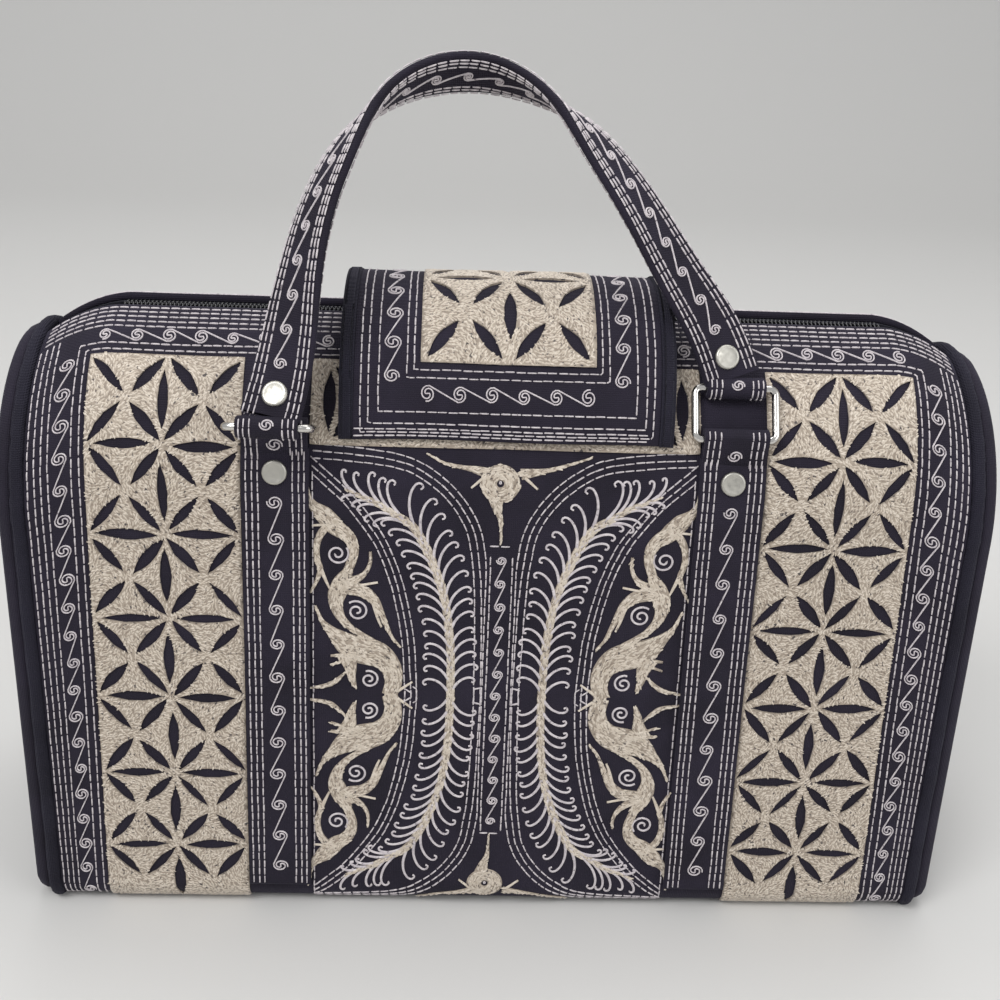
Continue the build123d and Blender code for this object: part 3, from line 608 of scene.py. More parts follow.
def bump(material, shader, source, strength, distance):
    made = node(material, "ShaderNodeBump", Strength=strength, Distance=distance, Height=source)
    link(material, made.outputs["Normal"], shader.inputs["Normal"])


def cloth_material(name, dark, light, weave=1.0):
    """Woven cloth: crossing threads in the bump, a little unevenness in its colour, and sheen."""
    material, shader = new_material(name, light, 0.85, sheen=0.05)
    shader.inputs["Sheen Roughness"].default_value = 0.4
    shader.inputs["Sheen Tint"].default_value = (0.62, 0.6, 0.9, 1)
    shader.inputs["Specular IOR Level"].default_value = 0.3
    tone = ramp(material, noise(material, 38), [(0.3, dark), (0.7, light)])
    link(material, tone, shader.inputs["Base Color"])
    threads = total(material, wave(material, "X"), wave(material, "Z"))
    bump(material, shader, total(material, threads, noise(material, 900, 2)), 0.35 * weave, 0.0004)
    return material


def stitch_material(name, pale, deep, shade_speck, shade_speck_share):
    """Thread: pale with deeper strands, and dark specks of painted shade between the stitches."""
    material, shader = new_material(name, pale, 0.62, sheen=0.25)
    strands = ramp(material, noise(material, 520), [(0.35, deep), (0.65, pale)])
    # Dark specks over part of the thread: painted shade between the stitches.
    shade_speck_mask = ramp(material, noise(material, 760, 2),
                [(shade_speck_share, (1, 1, 1)), (shade_speck_share + 0.05, (0, 0, 0))])
    mixed = node(material, "ShaderNodeMix", data_type="RGBA")
    link(material, shade_speck_mask, mixed.inputs["Factor"])
    colours = {socket.name: socket for socket in mixed.inputs if socket.type == "RGBA"}
    link(material, strands, colours["A"])
    colours["B"].default_value = (*shade_speck, 1)
    result = [socket for socket in mixed.outputs if socket.type == "RGBA"][0]
    link(material, result, shader.inputs["Base Color"])
    bump(material, shader, noise(material, 1500, 2), 0.4, 0.0002)
    return material


def metal_material(name, colour, roughness):
    """Metal with a finely worn gloss."""
    material, shader = new_material(name, colour, roughness, metallic=1.0)
    worn = ramp(material, noise(material, 600, 4),
                [(0.3, (roughness * 0.7,) * 3), (0.8, (min(1, roughness * 1.7),) * 3)])
    link(material, worn, shader.inputs["Roughness"])
    return material


NAVY = cloth_material("navy_cloth", (0.0095, 0.0073, 0.0148), (0.0180, 0.0142, 0.0275))
NAVY_FOLD = cloth_material("folded_binding", (0.007, 0.006, 0.013), (0.014, 0.0125, 0.024), 1.6)
CREAM = stitch_material("cream_stitches", (0.69, 0.615, 0.525), (0.52, 0.445, 0.36), (0.16, 0.13, 0.11), 0.3)
# Darker copy of the cream thread: painted shade for the depth under and between the filling stitches.
SHADED_CREAM = stitch_material("cream_stitches_painted_shade", (0.42, 0.355, 0.285), (0.26, 0.21, 0.165), (0.05, 0.04, 0.04), 0.34)
WHITE = stitch_material("pale_thread", (0.64, 0.59, 0.60), (0.45, 0.405, 0.43), (0.20, 0.17, 0.19), 0.3)
TAPE = cloth_material("zip_tape", (0.004, 0.004, 0.007), (0.010, 0.010, 0.016), 1.3)
COIL = new_material("zip_coil", (0.006, 0.006, 0.008), 0.22, coat=0.4)[0]
NICKEL = metal_material("nickel", (0.62, 0.60, 0.57), 0.16)
RIVET = metal_material("rivet_metal", (0.50, 0.485, 0.44), 0.42)
BOARD = new_material("grey_board", (0.20, 0.17, 0.13), 0.9)[0]
# Finishes 0, 1 and 2: cream thread, its darker copy of painted shade, pale thread.
EMBROIDERY = (CREAM, SHADED_CREAM, WHITE)
RIGHT_LEFT = (("right", "left"), 0)
SIDES = (-1, 1)
HALVES = (1, -1)
CORNERS = [(across, along) for across in SIDES for along in SIDES]


# Cloth pieces
def lattice_petals():
    """Centre (x, s), angle, length and width of every petal of the right column."""
    slope = math.degrees(math.atan2(ROW_PITCH, CELL_WIDTH))
    petals = []

    def petal(x, s, angle, length):
        x += RANDOM.uniform(-0.5, 0.5)
        s += RANDOM.uniform(-0.5, 0.5)
        petals.append((x, s, angle + RANDOM.uniform(-2.5, 2.5), length * RANDOM.uniform(0.94, 1.04),
                       PETAL_WIDTH * RANDOM.uniform(0.76, 1.0)))

    for row in range(LATTICE_ROWS):
        middle = LATTICE_START + (row + 0.5) * ROW_PITCH
        for column in range(LATTICE_COLUMNS):
            centre = LATTICE_INNER + (column + 0.5) * CELL_WIDTH
            if row > 0:
                petal(centre, middle - ROW_PITCH / 2, 0, PETAL_LENGTH)
            for across, along in CORNERS:
                petal(centre + across * CELL_WIDTH * DIAGONAL_SHARE,
                      middle + along * ROW_PITCH * DIAGONAL_SHARE, across * along * slope, DIAGONAL_LENGTH)
        for column in range(1, LATTICE_COLUMNS):
            petal(LATTICE_INNER + column * CELL_WIDTH, middle, 90, PETAL_LENGTH)
    return [p for p in petals if p[1] - p[3] * abs(math.sin(math.radians(p[2]))) / 2 > FIELD_FOOT + 0.5]


def make_panels():
    cloth = Batch()
    thick_sheet(cloth, panel, spaced(-HALF_LENGTH, HALF_LENGTH, 3.2), spaced(-CORNER_LENGTH, ZIP_EDGE, 3.2),
                -CLOTH, 0.0)
    make_pair("{}_panel_cloth", cloth, NAVY, "navy_cloth", "{}_panel")
    base = Batch()

    def base_surface(x, y, out):
        x, y, out = np.broadcast_arrays(x, y, out)
        return np.stack([x, y, -out], -1)

    thick_sheet(base, base_surface, spaced(-HALF_LENGTH, HALF_LENGTH, 8), spaced(-PLATE_HALF, PLATE_HALF, 8),
                -CLOTH, 0.0)
    make_piece("bottom_panel_cloth", base, NAVY, "bag", "navy_cloth", ["bottom_panel"])


def make_lattices():
    field = Batch()
    cream_field(field, panel, LATTICE_INNER, LATTICE_OUTER, FIELD_FOOT, FIELD_TOP, lattice_petals())
    both = Batch().join(field).join(field.mirrored(0))
    make_pair("{}_lattice_stitches", both, EMBROIDERY, "cream_embroidery", "{}_lattice")


def end_outline(inset):
    """Closed outline (y, z) of the bag's ends, moved in by inset, its ridge rounded."""
    crown_y, crown_z = crown_centre(BODY_HEIGHT - END_DROP)
    crown = CROWN_RADIUS - inset
    corner = max(0.5, BASE_CORNER - inset)
    ridge = math.acos(-crown_y / crown)
    low = np.linspace(-math.pi / 2, LEAN, 14)
    over = np.linspace(LEAN, ridge, 48)
    base = np.linspace(0, PLATE_HALF, 14)[:-1]
    y = np.concatenate([base, PLATE_HALF + corner * np.cos(low)])
    z = np.concatenate([np.full(13, inset), BASE_CORNER + corner * np.sin(low)])
    top_y = crown_y + crown * np.cos(over)
    top_z = crown_z + crown * np.sin(over)
    wall = np.linspace(0, 1, 24)[1:-1]
    y = np.concatenate([y, y[-1] + (top_y[0] - y[-1]) * wall, top_y])
    z = np.concatenate([z, z[-1] + (top_z[0] - z[-1]) * wall, top_z])
    z = z - 0.9 * np.clip(1 - y / RIDGE_ROUND, 0, 1) ** 2
    return np.concatenate([y, -y[::-1][1:-1]]), np.concatenate([z, z[::-1][1:-1]])


def make_ends():
    """Right binding and domed end panel, and their copies on the left."""
    profile = ((179.1, -2.8), (179.1, -0.3), (179.5, 0.9), (180.5, 1.55), (181.6, 1.7), (182.8, 1.5),
               (183.8, 0.8), (184.1, -0.4), (184.1, -2.8))
    binding = Batch()
    loops = []
    for x, proud in profile:
        y, z = end_outline(-proud)
        ruffle = 0.12 * np.sin(np.arange(len(y)) * 1.9 + x * 2) + 0.1 * np.sin(np.arange(len(y)) * 0.73)
        loops.append(np.stack([x + ruffle, y, np.maximum(z, 0.3)], -1))
    binding.add(loops, [grid_faces(len(profile), len(y), closed_rows=True, closed_columns=True, flip=True)])
    make_pair("{}_binding_fold", binding, NAVY_FOLD, "binding", "{}_binding", *RIGHT_LEFT)

    dome = Batch()
    steps = ((0, 4.0), (0.0, 1.0), (0.35, 1.4), (0.65, 2.5), (0.84, 4.4), (0.94, 7.0), (0.98, 10.5))
    loops = []
    for share, inset in steps:
        y, z = end_outline(inset)
        loops.append(np.stack([BINDING_END + share * END_BULGE + 0 * y, y, z], -1))
    rim = loops[-1]
    middle = np.array([0, 0, rim[:, 2].mean()])
    for share in (0.92, 0.8, 0.65, 0.5, 0.35, 0.2, 0.07, 0.002):
        ring = middle + (rim - middle) * share
        fade = 2 * share * (1 - share)
        crease = np.sin(rim[:, 2] / 23 + 3 * share) * np.cos(rim[:, 1] / 19) * fade
        ring[:, 0] = BINDING_END + END_BULGE * (1 - 0.02 * share) + crease
        loops.append(ring)
    dome.add(loops, [grid_faces(len(loops), len(rim), closed_columns=True, flip=True)])
    make_pair("{}_end_cloth", dome, NAVY, "navy_cloth", "{}_end_panel", *RIGHT_LEFT)


def tab_profile():
    """Outer and inner outline (y, z) of the cloth that leaves the band and goes round the ring's bar."""
    foot, foot_in = (np.array(surface_point(BAND_TOP - 3, out)[:2]) for out in (1.9, 0.2))
    turn = TAB_ANGLE + np.radians(np.linspace(0, 235, 20))
    around = np.stack([-np.cos(turn), np.sin(turn)], -1)
    outer = [foot, *((TAB_Y, TAB_Z) + LOOP_RADIUS * around), foot_in]
    inner = [foot_in + (foot - foot_in) * 0.55, *((TAB_Y, TAB_Z) + LOOP_HOLE * around),
             foot_in + (foot - foot_in) * 0.45]
    return outer, inner


def profile_surface(profile, middle_x):
    """Surface swept along X from a line of (y, z) points: across from its middle, along the line, out."""
    profile = np.asarray(profile, float)
    length = arc(profile)
    outwards = heading(profile)[1]

    def surface(across, along, out):
        across, along, out = np.broadcast_arrays(across, along, out)
        place = read_off(along, length, profile) + read_off(along, length, outwards) * out[..., None]
        return np.concatenate([(middle_x + across)[..., None], place], -1)
    return surface


def make_bands():
    """Carrying band of the right front column, the tab above it and the loop round the ring's bar."""
    band = Batch()
    span = spaced(BAND_CENTRE - BAND_WIDTH / 2, BAND_CENTRE + BAND_WIDTH / 2, 1.8)
    thick_sheet(band, panel, span, spaced(0.5, panel_arc(BAND_TOP), 3), 0.1, BAND_FACE, 0.9)
    outer, inner = tab_profile()
    profile = np.array(outer + inner[::-1])
    half = BAND_WIDTH / 2 - 0.4
    stops = (-half, -half + 0.7, half - 0.7, half)
    loops = [np.insert(profile, 0, BAND_CENTRE + x, axis=1) for x in stops]
    band.add(loops, [grid_faces(4, len(profile), closed_columns=True)])
    n = len(outer)
    first = np.arange(n - 1)
    edge = np.stack([first, first + 1, 2 * n - 2 - first, 2 * n - 1 - first], -1)
    band.add(loops[0], [edge])
    band.add(loops[-1], [edge[:, ::-1]])
    for side, made in (("front", band), ("back", band.mirrored(1))):
        make_pair(side + "_{}_band_cloth", made, NAVY, "navy_cloth", side + "_{}_band", *RIGHT_LEFT)


def tube(batch, path, radius, sides, closed=False, reference=(1.0, 0.0, 0.0)):
    """Round wire along a path of points."""
    path = np.asarray(path, float)
    ahead = np.roll(path, -1, 0) - np.roll(path, 1, 0)
    if not closed:
        ahead[0] = path[1] - path[0]
        ahead[-1] = path[-1] - path[-2]
    ahead = unit(ahead)
    side = unit(np.cross(ahead, reference))
    up = np.cross(side, ahead)
    angle = np.linspace(0, 2 * math.pi, sides, endpoint=False)[:, None]
    faces = [grid_faces(len(path), sides, closed_rows=closed, closed_columns=True)]
    if not closed:
        cap = np.arange(sides)[None]
        faces += [cap[:, ::-1], cap + (len(path) - 1) * sides]
    batch.add(path[:, None] + radius * (side[:, None] * np.cos(angle) + up[:, None] * np.sin(angle)), faces)


def ring_batch(x, angle):
    """Ring of wire: a rounded rectangle with its lower bar in the tab."""
    half = RING_WIDTH / 2
    corners = ((half, 0, -90), (half, RING_DROP, 0), (-half, RING_DROP, 90), (-half, 0, 180))
    outline = []
    for cx, cu, start in corners:
        px = cx - math.copysign(RING_CORNER, cx)
        pu = RING_CORNER if cu == 0 else cu - RING_CORNER
        for turn in np.radians(np.linspace(start, start + 90, 9)):
            outline.append((px + RING_CORNER * math.cos(turn), pu + RING_CORNER * math.sin(turn)))
    a = math.radians(angle)
    path = [(x + u, TAB_Y - v * math.cos(a), TAB_Z + v * math.sin(a)) for u, v in outline]
    made = Batch()
    tube(made, path, WIRE / 2, 14, closed=True, reference=(0, math.sin(a), math.cos(a)))
    return made


def rivet_batch(origin, outward, along):
    """Flat-domed rivet cap with a rolled rim."""
    outward = unit(np.array(outward, float))
    along = unit(along - outward * np.dot(along, outward))
    aside = np.cross(outward, along)
    profile = ((0.01, 1.12), (1.8, 1.12), (3.3, 1.15), (3.7, 1.28), (4.15, 1.25), (4.5, 0.95), (4.68, 0.5),
               (4.7, 0.0), (4.5, -0.6))
    turn = np.linspace(0, 2 * math.pi, RIVET_SIDES, endpoint=False)[:, None]
    loops = [origin + outward * height + radius * (along * np.cos(turn) + aside * np.sin(turn))
             for radius, height in profile]
    return Batch().add(loops, [grid_faces(len(profile), RIVET_SIDES, closed_columns=True)])


def make_rings():
    front = ring_batch(-BAND_CENTRE, LEFT_RING_ANGLE).join(ring_batch(BAND_CENTRE, RIGHT_RING_ANGLE))
    make_piece("front_rings_wire", front, NICKEL, "front_handle_set", "nickel", ["front_rings"])
    back = ring_batch(-BAND_CENTRE, HANG_ANGLE).join(ring_batch(BAND_CENTRE, HANG_ANGLE))
    make_piece("back_rings_wire", back.mirrored(1), NICKEL, "back_handle_set", "nickel", ["back_rings"])
    y, z, angle = surface_point(TAB_RIVET_HEIGHT, BAND_FACE)
    outward = (0, -math.cos(angle), math.sin(angle))
    pair = Batch()
    for x in (-BAND_CENTRE, BAND_CENTRE):
        pair.join(rivet_batch(np.array([x, y, z]), outward, (1, 0, 0)))
    make_pair("{}_tab_rivet_caps", pair, RIVET, "rivet", "{}_tab_rivets")


def bar_surface(centre):
    """Surface of a cloth loop round a ring's bar: across from its middle, and round from its front."""
    def surface(across, around, out):
        across, around, out = np.broadcast_arrays(across, around, out)
        angle = math.pi - around / LOOP_RADIUS
        radius = LOOP_RADIUS + out
        return centre + np.stack([across, radius * np.cos(angle), radius * np.sin(angle)], -1)
    return surface


# Handles
TURN_STOPS = (0.0, 0.08, 0.18, 0.33, 0.42, 0.5)
LEFT_TURN = (0.0, 0.15, 0.42, 0.55, 0.9, 1.0)
RIGHT_TURN = (0.0, 0.08, 0.25, 0.42, 0.85, 1.0)


class Strap:
    """Carrying strap along a smooth line, its face turning outwards over the arch."""

    def __init__(self, route, lean, turn):
        points = self.through(np.asarray(route, float))
        lengths = arc(points)
        self.length = lengths[-1]
        self.at = np.linspace(0, self.length, 160)
        self.point = read_off(self.at, lengths, points)
        self.tangent = unit(np.gradient(self.point, axis=0))
        front = np.array([0, -math.cos(math.radians(lean)), math.sin(math.radians(lean))])
        face = unit(front - self.tangent * (self.tangent @ front)[:, None])
        share = self.at / self.length
        turned = np.where(share < 0.5, np.interp(share, TURN_STOPS, LEFT_TURN),
                          np.interp(1 - share, TURN_STOPS, RIGHT_TURN))
        turned = np.convolve(np.pad(turned, 6, mode="edge"), np.ones(13) / 13, mode="valid")
        angle = (math.radians(turn) * turned)[:, None]
        self.face = face * np.cos(angle) + np.cross(face, self.tangent) * np.sin(angle)
        self.width = np.cross(self.face, self.tangent)

    @staticmethod
    def through(points):
        """Natural cubic spline through the points, by chord length."""
        t = arc(points)
        n = len(points)
        h = np.diff(t)
        matrix = np.eye(n)
        right = np.zeros((n, 3))
        for i in range(1, n - 1):
            matrix[i, i - 1:i + 2] = (h[i - 1], 2 * (h[i - 1] + h[i]), h[i])
            right[i] = 6 * ((points[i + 1] - points[i]) / h[i] - (points[i] - points[i - 1]) / h[i - 1])
        bend = np.linalg.solve(matrix, right)
        fine = np.linspace(0, t[-1], 600)
        k = np.clip(np.searchsorted(t, fine) - 1, 0, n - 2)
        a = (t[k + 1] - fine)[:, None]
        b = (fine - t[k])[:, None]
        hk = h[k][:, None]
        curve = (bend[k] * a ** 3 + bend[k + 1] * b ** 3) / (6 * hk)
        curve += (points[k] / hk - bend[k] * hk / 6) * a
        return curve + (points[k + 1] / hk - bend[k + 1] * hk / 6) * b

    def surface(self, along, across, out):
        """Point at a length along the strap, a distance across and a height over its outer face."""
        along, across, out = np.broadcast_arrays(along, across, out)
        point, width, face = (read_off(along, self.at, rows) for rows in (self.point, self.width, self.face))
        crown = 0.25 * (1 - (across / (HANDLE_WIDTH / 2)) ** 2)
        return point + width * across[..., None] + face * (HANDLE_THICKNESS / 2 + out + crown)[..., None]

    def inner(self, along, across, out):
        """As surface, over the strap's inner face."""
        depth = -HANDLE_THICKNESS - 0.5 * (1 - (np.asarray(across) / (HANDLE_WIDTH / 2)) ** 2)
        return self.surface(along, across, depth - np.asarray(out))

    def cloth(self):
        """The strap, and the two loops round the rings' bars."""
        half = HANDLE_WIDTH / 2
        turn = np.linspace(0, 2 * math.pi, STRAP_SIDES, endpoint=False)
        v = half * np.sign(np.cos(turn)) * np.abs(np.cos(turn)) ** 0.45
        w = HANDLE_THICKNESS / 2 + 0.2 * (1 - (v / half) ** 2)
        w = w * np.sign(np.sin(turn)) * np.abs(np.sin(turn)) ** 0.6
        inside = (self.at > 2.2) & (self.at < self.length - 2.2)
        point, width, face = (rows[inside][:, None] for rows in (self.point, self.width, self.face))
        made = Batch()
        made.add(point + width * v[:, None] + face * w[:, None],
                 [grid_faces(len(point), STRAP_SIDES, closed_columns=True)])
        shape = ((LOOP_HOLE, -half), (LOOP_RADIUS - 0.5, -half), (LOOP_RADIUS, -half + 0.6),
                 (LOOP_RADIUS, half - 0.6), (LOOP_RADIUS - 0.5, half), (LOOP_HOLE, half))
        loops = np.array([np.insert(radius * polar(turn), 0, x, axis=1) for radius, x in shape])
        for centre in self.point[[0, -1]]:
            made.add(centre + loops, [grid_faces(len(shape), STRAP_SIDES, True, True)])
        return made

    def rivets(self):
        made = Batch()
        for along in (HANDLE_RIVET_OFFSET, self.length - HANDLE_RIVET_OFFSET):
            k = int(np.argmin(np.abs(self.at - along)))
            origin = self.point[k] + self.face[k] * HANDLE_THICKNESS / 2
            made.join(rivet_batch(origin, self.face[k], self.tangent[k]))
        return made

    def thread(self):
        """Rows of stitching on both faces and round the loops."""
        made = Batch()
        start = HANDLE_RIVET_OFFSET + 5.5
        for face in (self.surface, self.inner):
            for v in HANDLE_ROWS:
                row = v + RANDOM.uniform(-0.1, 0.1)
                dashes(made, face, [(3.0, row), (self.length - 3.0, row)])
            scrolls(made, face, (start, 0), (self.length - start, 0), radius=2.2)
        for centre in self.point[[0, -1]]:
            loop = bar_surface(centre)
            for v in HANDLE_ROWS:
                dashes(made, loop, [(v, -6.5), (v, 9.0)])
            scrolls(made, loop, (0.0, -2.0), (0.0, 7.0), radius=2.1)
        return made

def ring_bar(angle):
    """Middle (y, z) of a ring's upper bar."""
    a = math.radians(angle)
    return TAB_Y - RING_DROP * math.cos(a), TAB_Z + RING_DROP * math.sin(a)


def standing_route():
    arch = (
        (-0.96, -9.9, 0.165), (-0.91, 2.1, 0.354), (-0.84, 14.6, 0.593), (-0.72, 26.1, 0.79),
        (-0.54, 36.6, 0.938),
        (-0.3, 44.6, 1.0), (-0.07, 48.6, 0.992), (0.15, 45.1, 0.934), (0.36, 39.1, 0.807),
        (0.56, 32.6, 0.634),
        (0.74, 26.1, 0.453), (0.9, 18.6, 0.292),
    )
    points = [(across * BAND_CENTRE, TAB_Y + back, TAB_Z + up * HANDLE_RISE) for across, back, up in arch]
    return [(-BAND_CENTRE, *ring_bar(LEFT_RING_ANGLE)), *points, (BAND_CENTRE, *ring_bar(RIGHT_RING_ANGLE))]


def hanging_route():
    bar_y, bar_z = ring_bar(HANG_ANGLE)
    shape = ((-1.0, 0.0), (-0.985, 0.18), (-0.93, 0.42), (-0.82, 0.67), (-0.61, 0.87), (-0.33, 0.97),
             (0.0, 1.0))
    left = [(across * BAND_CENTRE, bar_y - down * HANG_LENGTH * math.sin(HANG_LEAN),
             bar_z - down * HANG_LENGTH * math.cos(HANG_LEAN)) for across, down in shape]
    return left + [(-x, y, z) for x, y, z in left[-2::-1]]


def make_handles():
    for side, strap in (("front", Strap(standing_route(), 35.0, 100.0)),
                        ("back", Strap(hanging_route(), -9.0, 75.0))):
        name = side + "_handle"
        pieces = (("_cloth", strap.cloth(), NAVY, "navy_cloth", [name]),
                  ("_rivet_caps", strap.rivets(), RIVET, "rivet", [name + "_rivets"]),
                  ("_thread", strap.thread(), WHITE, "cream_embroidery", ()))
        for part, made, material, slot, replaced in pieces:
            batch = made.mirrored(1) if side == "back" else made
            make_piece(name + part, batch, material, name + "_set", slot, replaced)


# Flap
FLAP_END = FLAP_RADIUS * math.radians(149)
FLAP_FIELD_LOW = FLAP_RADIUS * math.radians(34)
FLAP_FIELD_HIGH = FLAP_RADIUS * math.radians(140)
FLAP_STAR = FLAP_RADIUS * math.radians(33)
FLAP_ROW = FLAP_RADIUS * math.radians(52)


def flap_petals():
    column = FLAP_FIELD_HALF / 2
    slope = math.degrees(math.atan2(FLAP_ROW, 2 * column))
    petals = []
    for row in range(2):
        middle = FLAP_STAR + (row + 0.5) * FLAP_ROW
        petals.append((0.5, middle, 90, 24.0, 5.2))
        for side in SIDES:
            petals.append((side * column, middle + FLAP_ROW / 2, 0, 22.0, 4.8))
            petals += [(side * column + across * column * 0.5, middle + along * FLAP_ROW * DIAGONAL_SHARE,
                        slope * across * along, 19.5, 5.0) for across, along in CORNERS]
    return [p for p in petals if p[1] + 11 < FLAP_FIELD_HIGH]


def flap_thread(half):
    """Rows of stitching and scrolls round the flap's field."""
    thread = Batch()
    for d in (2.4, 5.0, 15.3, 19.0, 21.8):
        x = FLAP_FIELD_HALF + d
        low = FLAP_FIELD_LOW - d * (1.15 if d < 12 else 1.2)
        dashes(thread, flap_surface, [(-x, FLAP_END - 2), (-x, low), (x, low), (x, FLAP_END - 2)])
    x = FLAP_FIELD_HALF + 10.2
    low = FLAP_FIELD_LOW - 11.6
    for side in SIDES:
        scrolls(thread, flap_surface, (side * x, low), (side * x, FLAP_END - 8))
    scrolls(thread, flap_surface, (-x + 7, low), (x - 7, low))
    for s in (1.6, 4.2):
        dashes(thread, flap_surface, [(-half + 0.5, s), (half - 0.5, s)])
    return thread


def make_flap():
    """Flap with the edge that is sewn down behind, its bindings, field and stitching."""
    half = FLAP_WIDTH / 2 - FLAP_BINDING_WIDTH
    outer = half + FLAP_BINDING_WIDTH
    sewn = spaced(panel_arc(227), panel_arc(236), 2)
    cloth = Batch()
    hem = Batch()
    thick_sheet(cloth, flap_surface, spaced(-half, half, 3), spaced(0, FLAP_END, 3), -FLAP_THICKNESS, 0.0)
    thick_sheet(hem, panel, spaced(-half, half, 3), sewn, 0.1, 2.6)
    make_piece("flap_cloth", cloth.join(hem.mirrored(1)), NAVY, "bag", "navy_cloth", ["flap"])
    fold = Batch()
    hem = Batch()
    thick_sheet(fold, flap_surface, spaced(half - 0.3, outer, 0.9), spaced(0, FLAP_END, 2.5),
                -FLAP_THICKNESS - 0.85, 0.85, 1.6)
    thick_sheet(hem, panel, spaced(half, outer, 1), sewn, 0.1, 3.6, 1.2)
    fold.join(hem.mirrored(1))
    make_pair("flap_{}_binding_fold", fold, NAVY_FOLD, "binding", "flap_{}_binding", *RIGHT_LEFT)
    field = Batch()
    cream_field(field, flap_surface, -FLAP_FIELD_HALF, FLAP_FIELD_HALF, FLAP_FIELD_LOW, FLAP_FIELD_HIGH,
                flap_petals())
    make_piece("flap_lattice_stitches", field, EMBROIDERY, "bag", "cream_embroidery", ["flap_lattice"])
    make_piece("flap_thread", flap_thread(half), WHITE, "bag", "cream_embroidery")


# Zip
def make_zip():
    inset = CLOTH + 0.1
    inner = STRAIGHT + CROWN_RADIUS * (math.acos((2.6 - CROWN_Y) / (CROWN_RADIUS - inset)) - LEAN)
    end = HALF_LENGTH - 0.1
    tape = Batch()
    thick_sheet(tape, panel, spaced(-end, end, 3), spaced(inner - 14, inner, 1.6), -inset - 1.2, -inset, 0.4)
    make_pair("zip_tape_{}_weave", tape, TAPE, "zip_tape", "zip_tape_{}")
    low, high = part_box("zip_teeth_front")
    middle = (low.z + high.z) / 2 / MM
    reach = -low.x / MM
    turns = np.arange(0, 2 * reach / COIL_PITCH, 0.1)
    angle = 2 * math.pi * turns
    for name, side, shift in (("front", -1, 0), ("back", 1, 0.49 * COIL_PITCH)):
        path = np.stack([-reach + COIL_PITCH * turns + shift, side * (1.15 - 1.35 * np.cos(angle)),
                         middle + 1.05 * np.sin(angle)], -1)
        coil = Batch()
        tube(coil, path[path[:, 0] < reach], 0.42, 5)
        make_piece("zip_teeth_" + name + "_coil", coil, COIL, "bag", "zip_teeth", ["zip_teeth_" + name])


def paint_nodes():
    """CAD pieces that are shown as they are get the finished materials."""
    metal = ("right_slider", "left_slider", "right_pull", "left_pull", "snap_socket", "snap_stud")
    for name, material in [(name, NICKEL) for name in metal] + [("base_board", BOARD)]:
        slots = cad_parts[name].data.materials
        slots.clear()
        slots.append(material)


# Stitching of the long panels
def border_lines(made, side):
    """Rows of stitching round one embroidered column and along its band."""
    def row(*places):
        dashes(made, panel, [(side * x, s) for x, s in places])

    foot = FIELD_FOOT - 1.0
    for d in (2.3, 5.2):
        x = LATTICE_OUTER + d
        row((x, foot), (x, FIELD_TOP + d), (60, FIELD_TOP + d))
    x = LATTICE_OUTER + 9.4
    scrolls(made, panel, (side * x, foot + 2), (side * x, FIELD_TOP + 4))
    scrolls(made, panel, (side * (x - 7), FIELD_TOP + 9.4), (side * 62, FIELD_TOP + 9.4))
    for d in (14.1, 16.7, 19.3, 21.9):
        row((LATTICE_OUTER + d, foot), (LATTICE_OUTER + d, FIELD_TOP + 13.0))
    for d in (13.9, 16.7, 19.5, 22.3, 25.1):
        row((HALF_LENGTH - 2.5, FIELD_TOP + d), (58, FIELD_TOP + d))
    middle = side * BAND_CENTRE
    top = panel_arc(BAND_TOP) - 0.3
    for v in BAND_ROWS:
        x = side * (BAND_CENTRE + v)
        dashes(made, panel, [(x, 1.5), (x, top)], BAND_FACE)
    rivet = panel_arc(TAB_RIVET_HEIGHT) - 4.5
    scrolls(made, panel, (middle, 3), (middle, rivet), BAND_FACE, pitch=BAND_SCROLL_PITCH)
    loop = profile_surface(tab_profile()[0], middle)
    for v in TAB_ROWS:
        dashes(made, loop, [(v, 0.6), (v, 17.0)])
    scrolls(made, loop, (0.0, 1.0), (0.0, 10.0))


def offset_route(points, distance):
    """Route moved sideways."""
    route = smooth_route(points, 2.0)
    return route + heading(route)[1] * distance


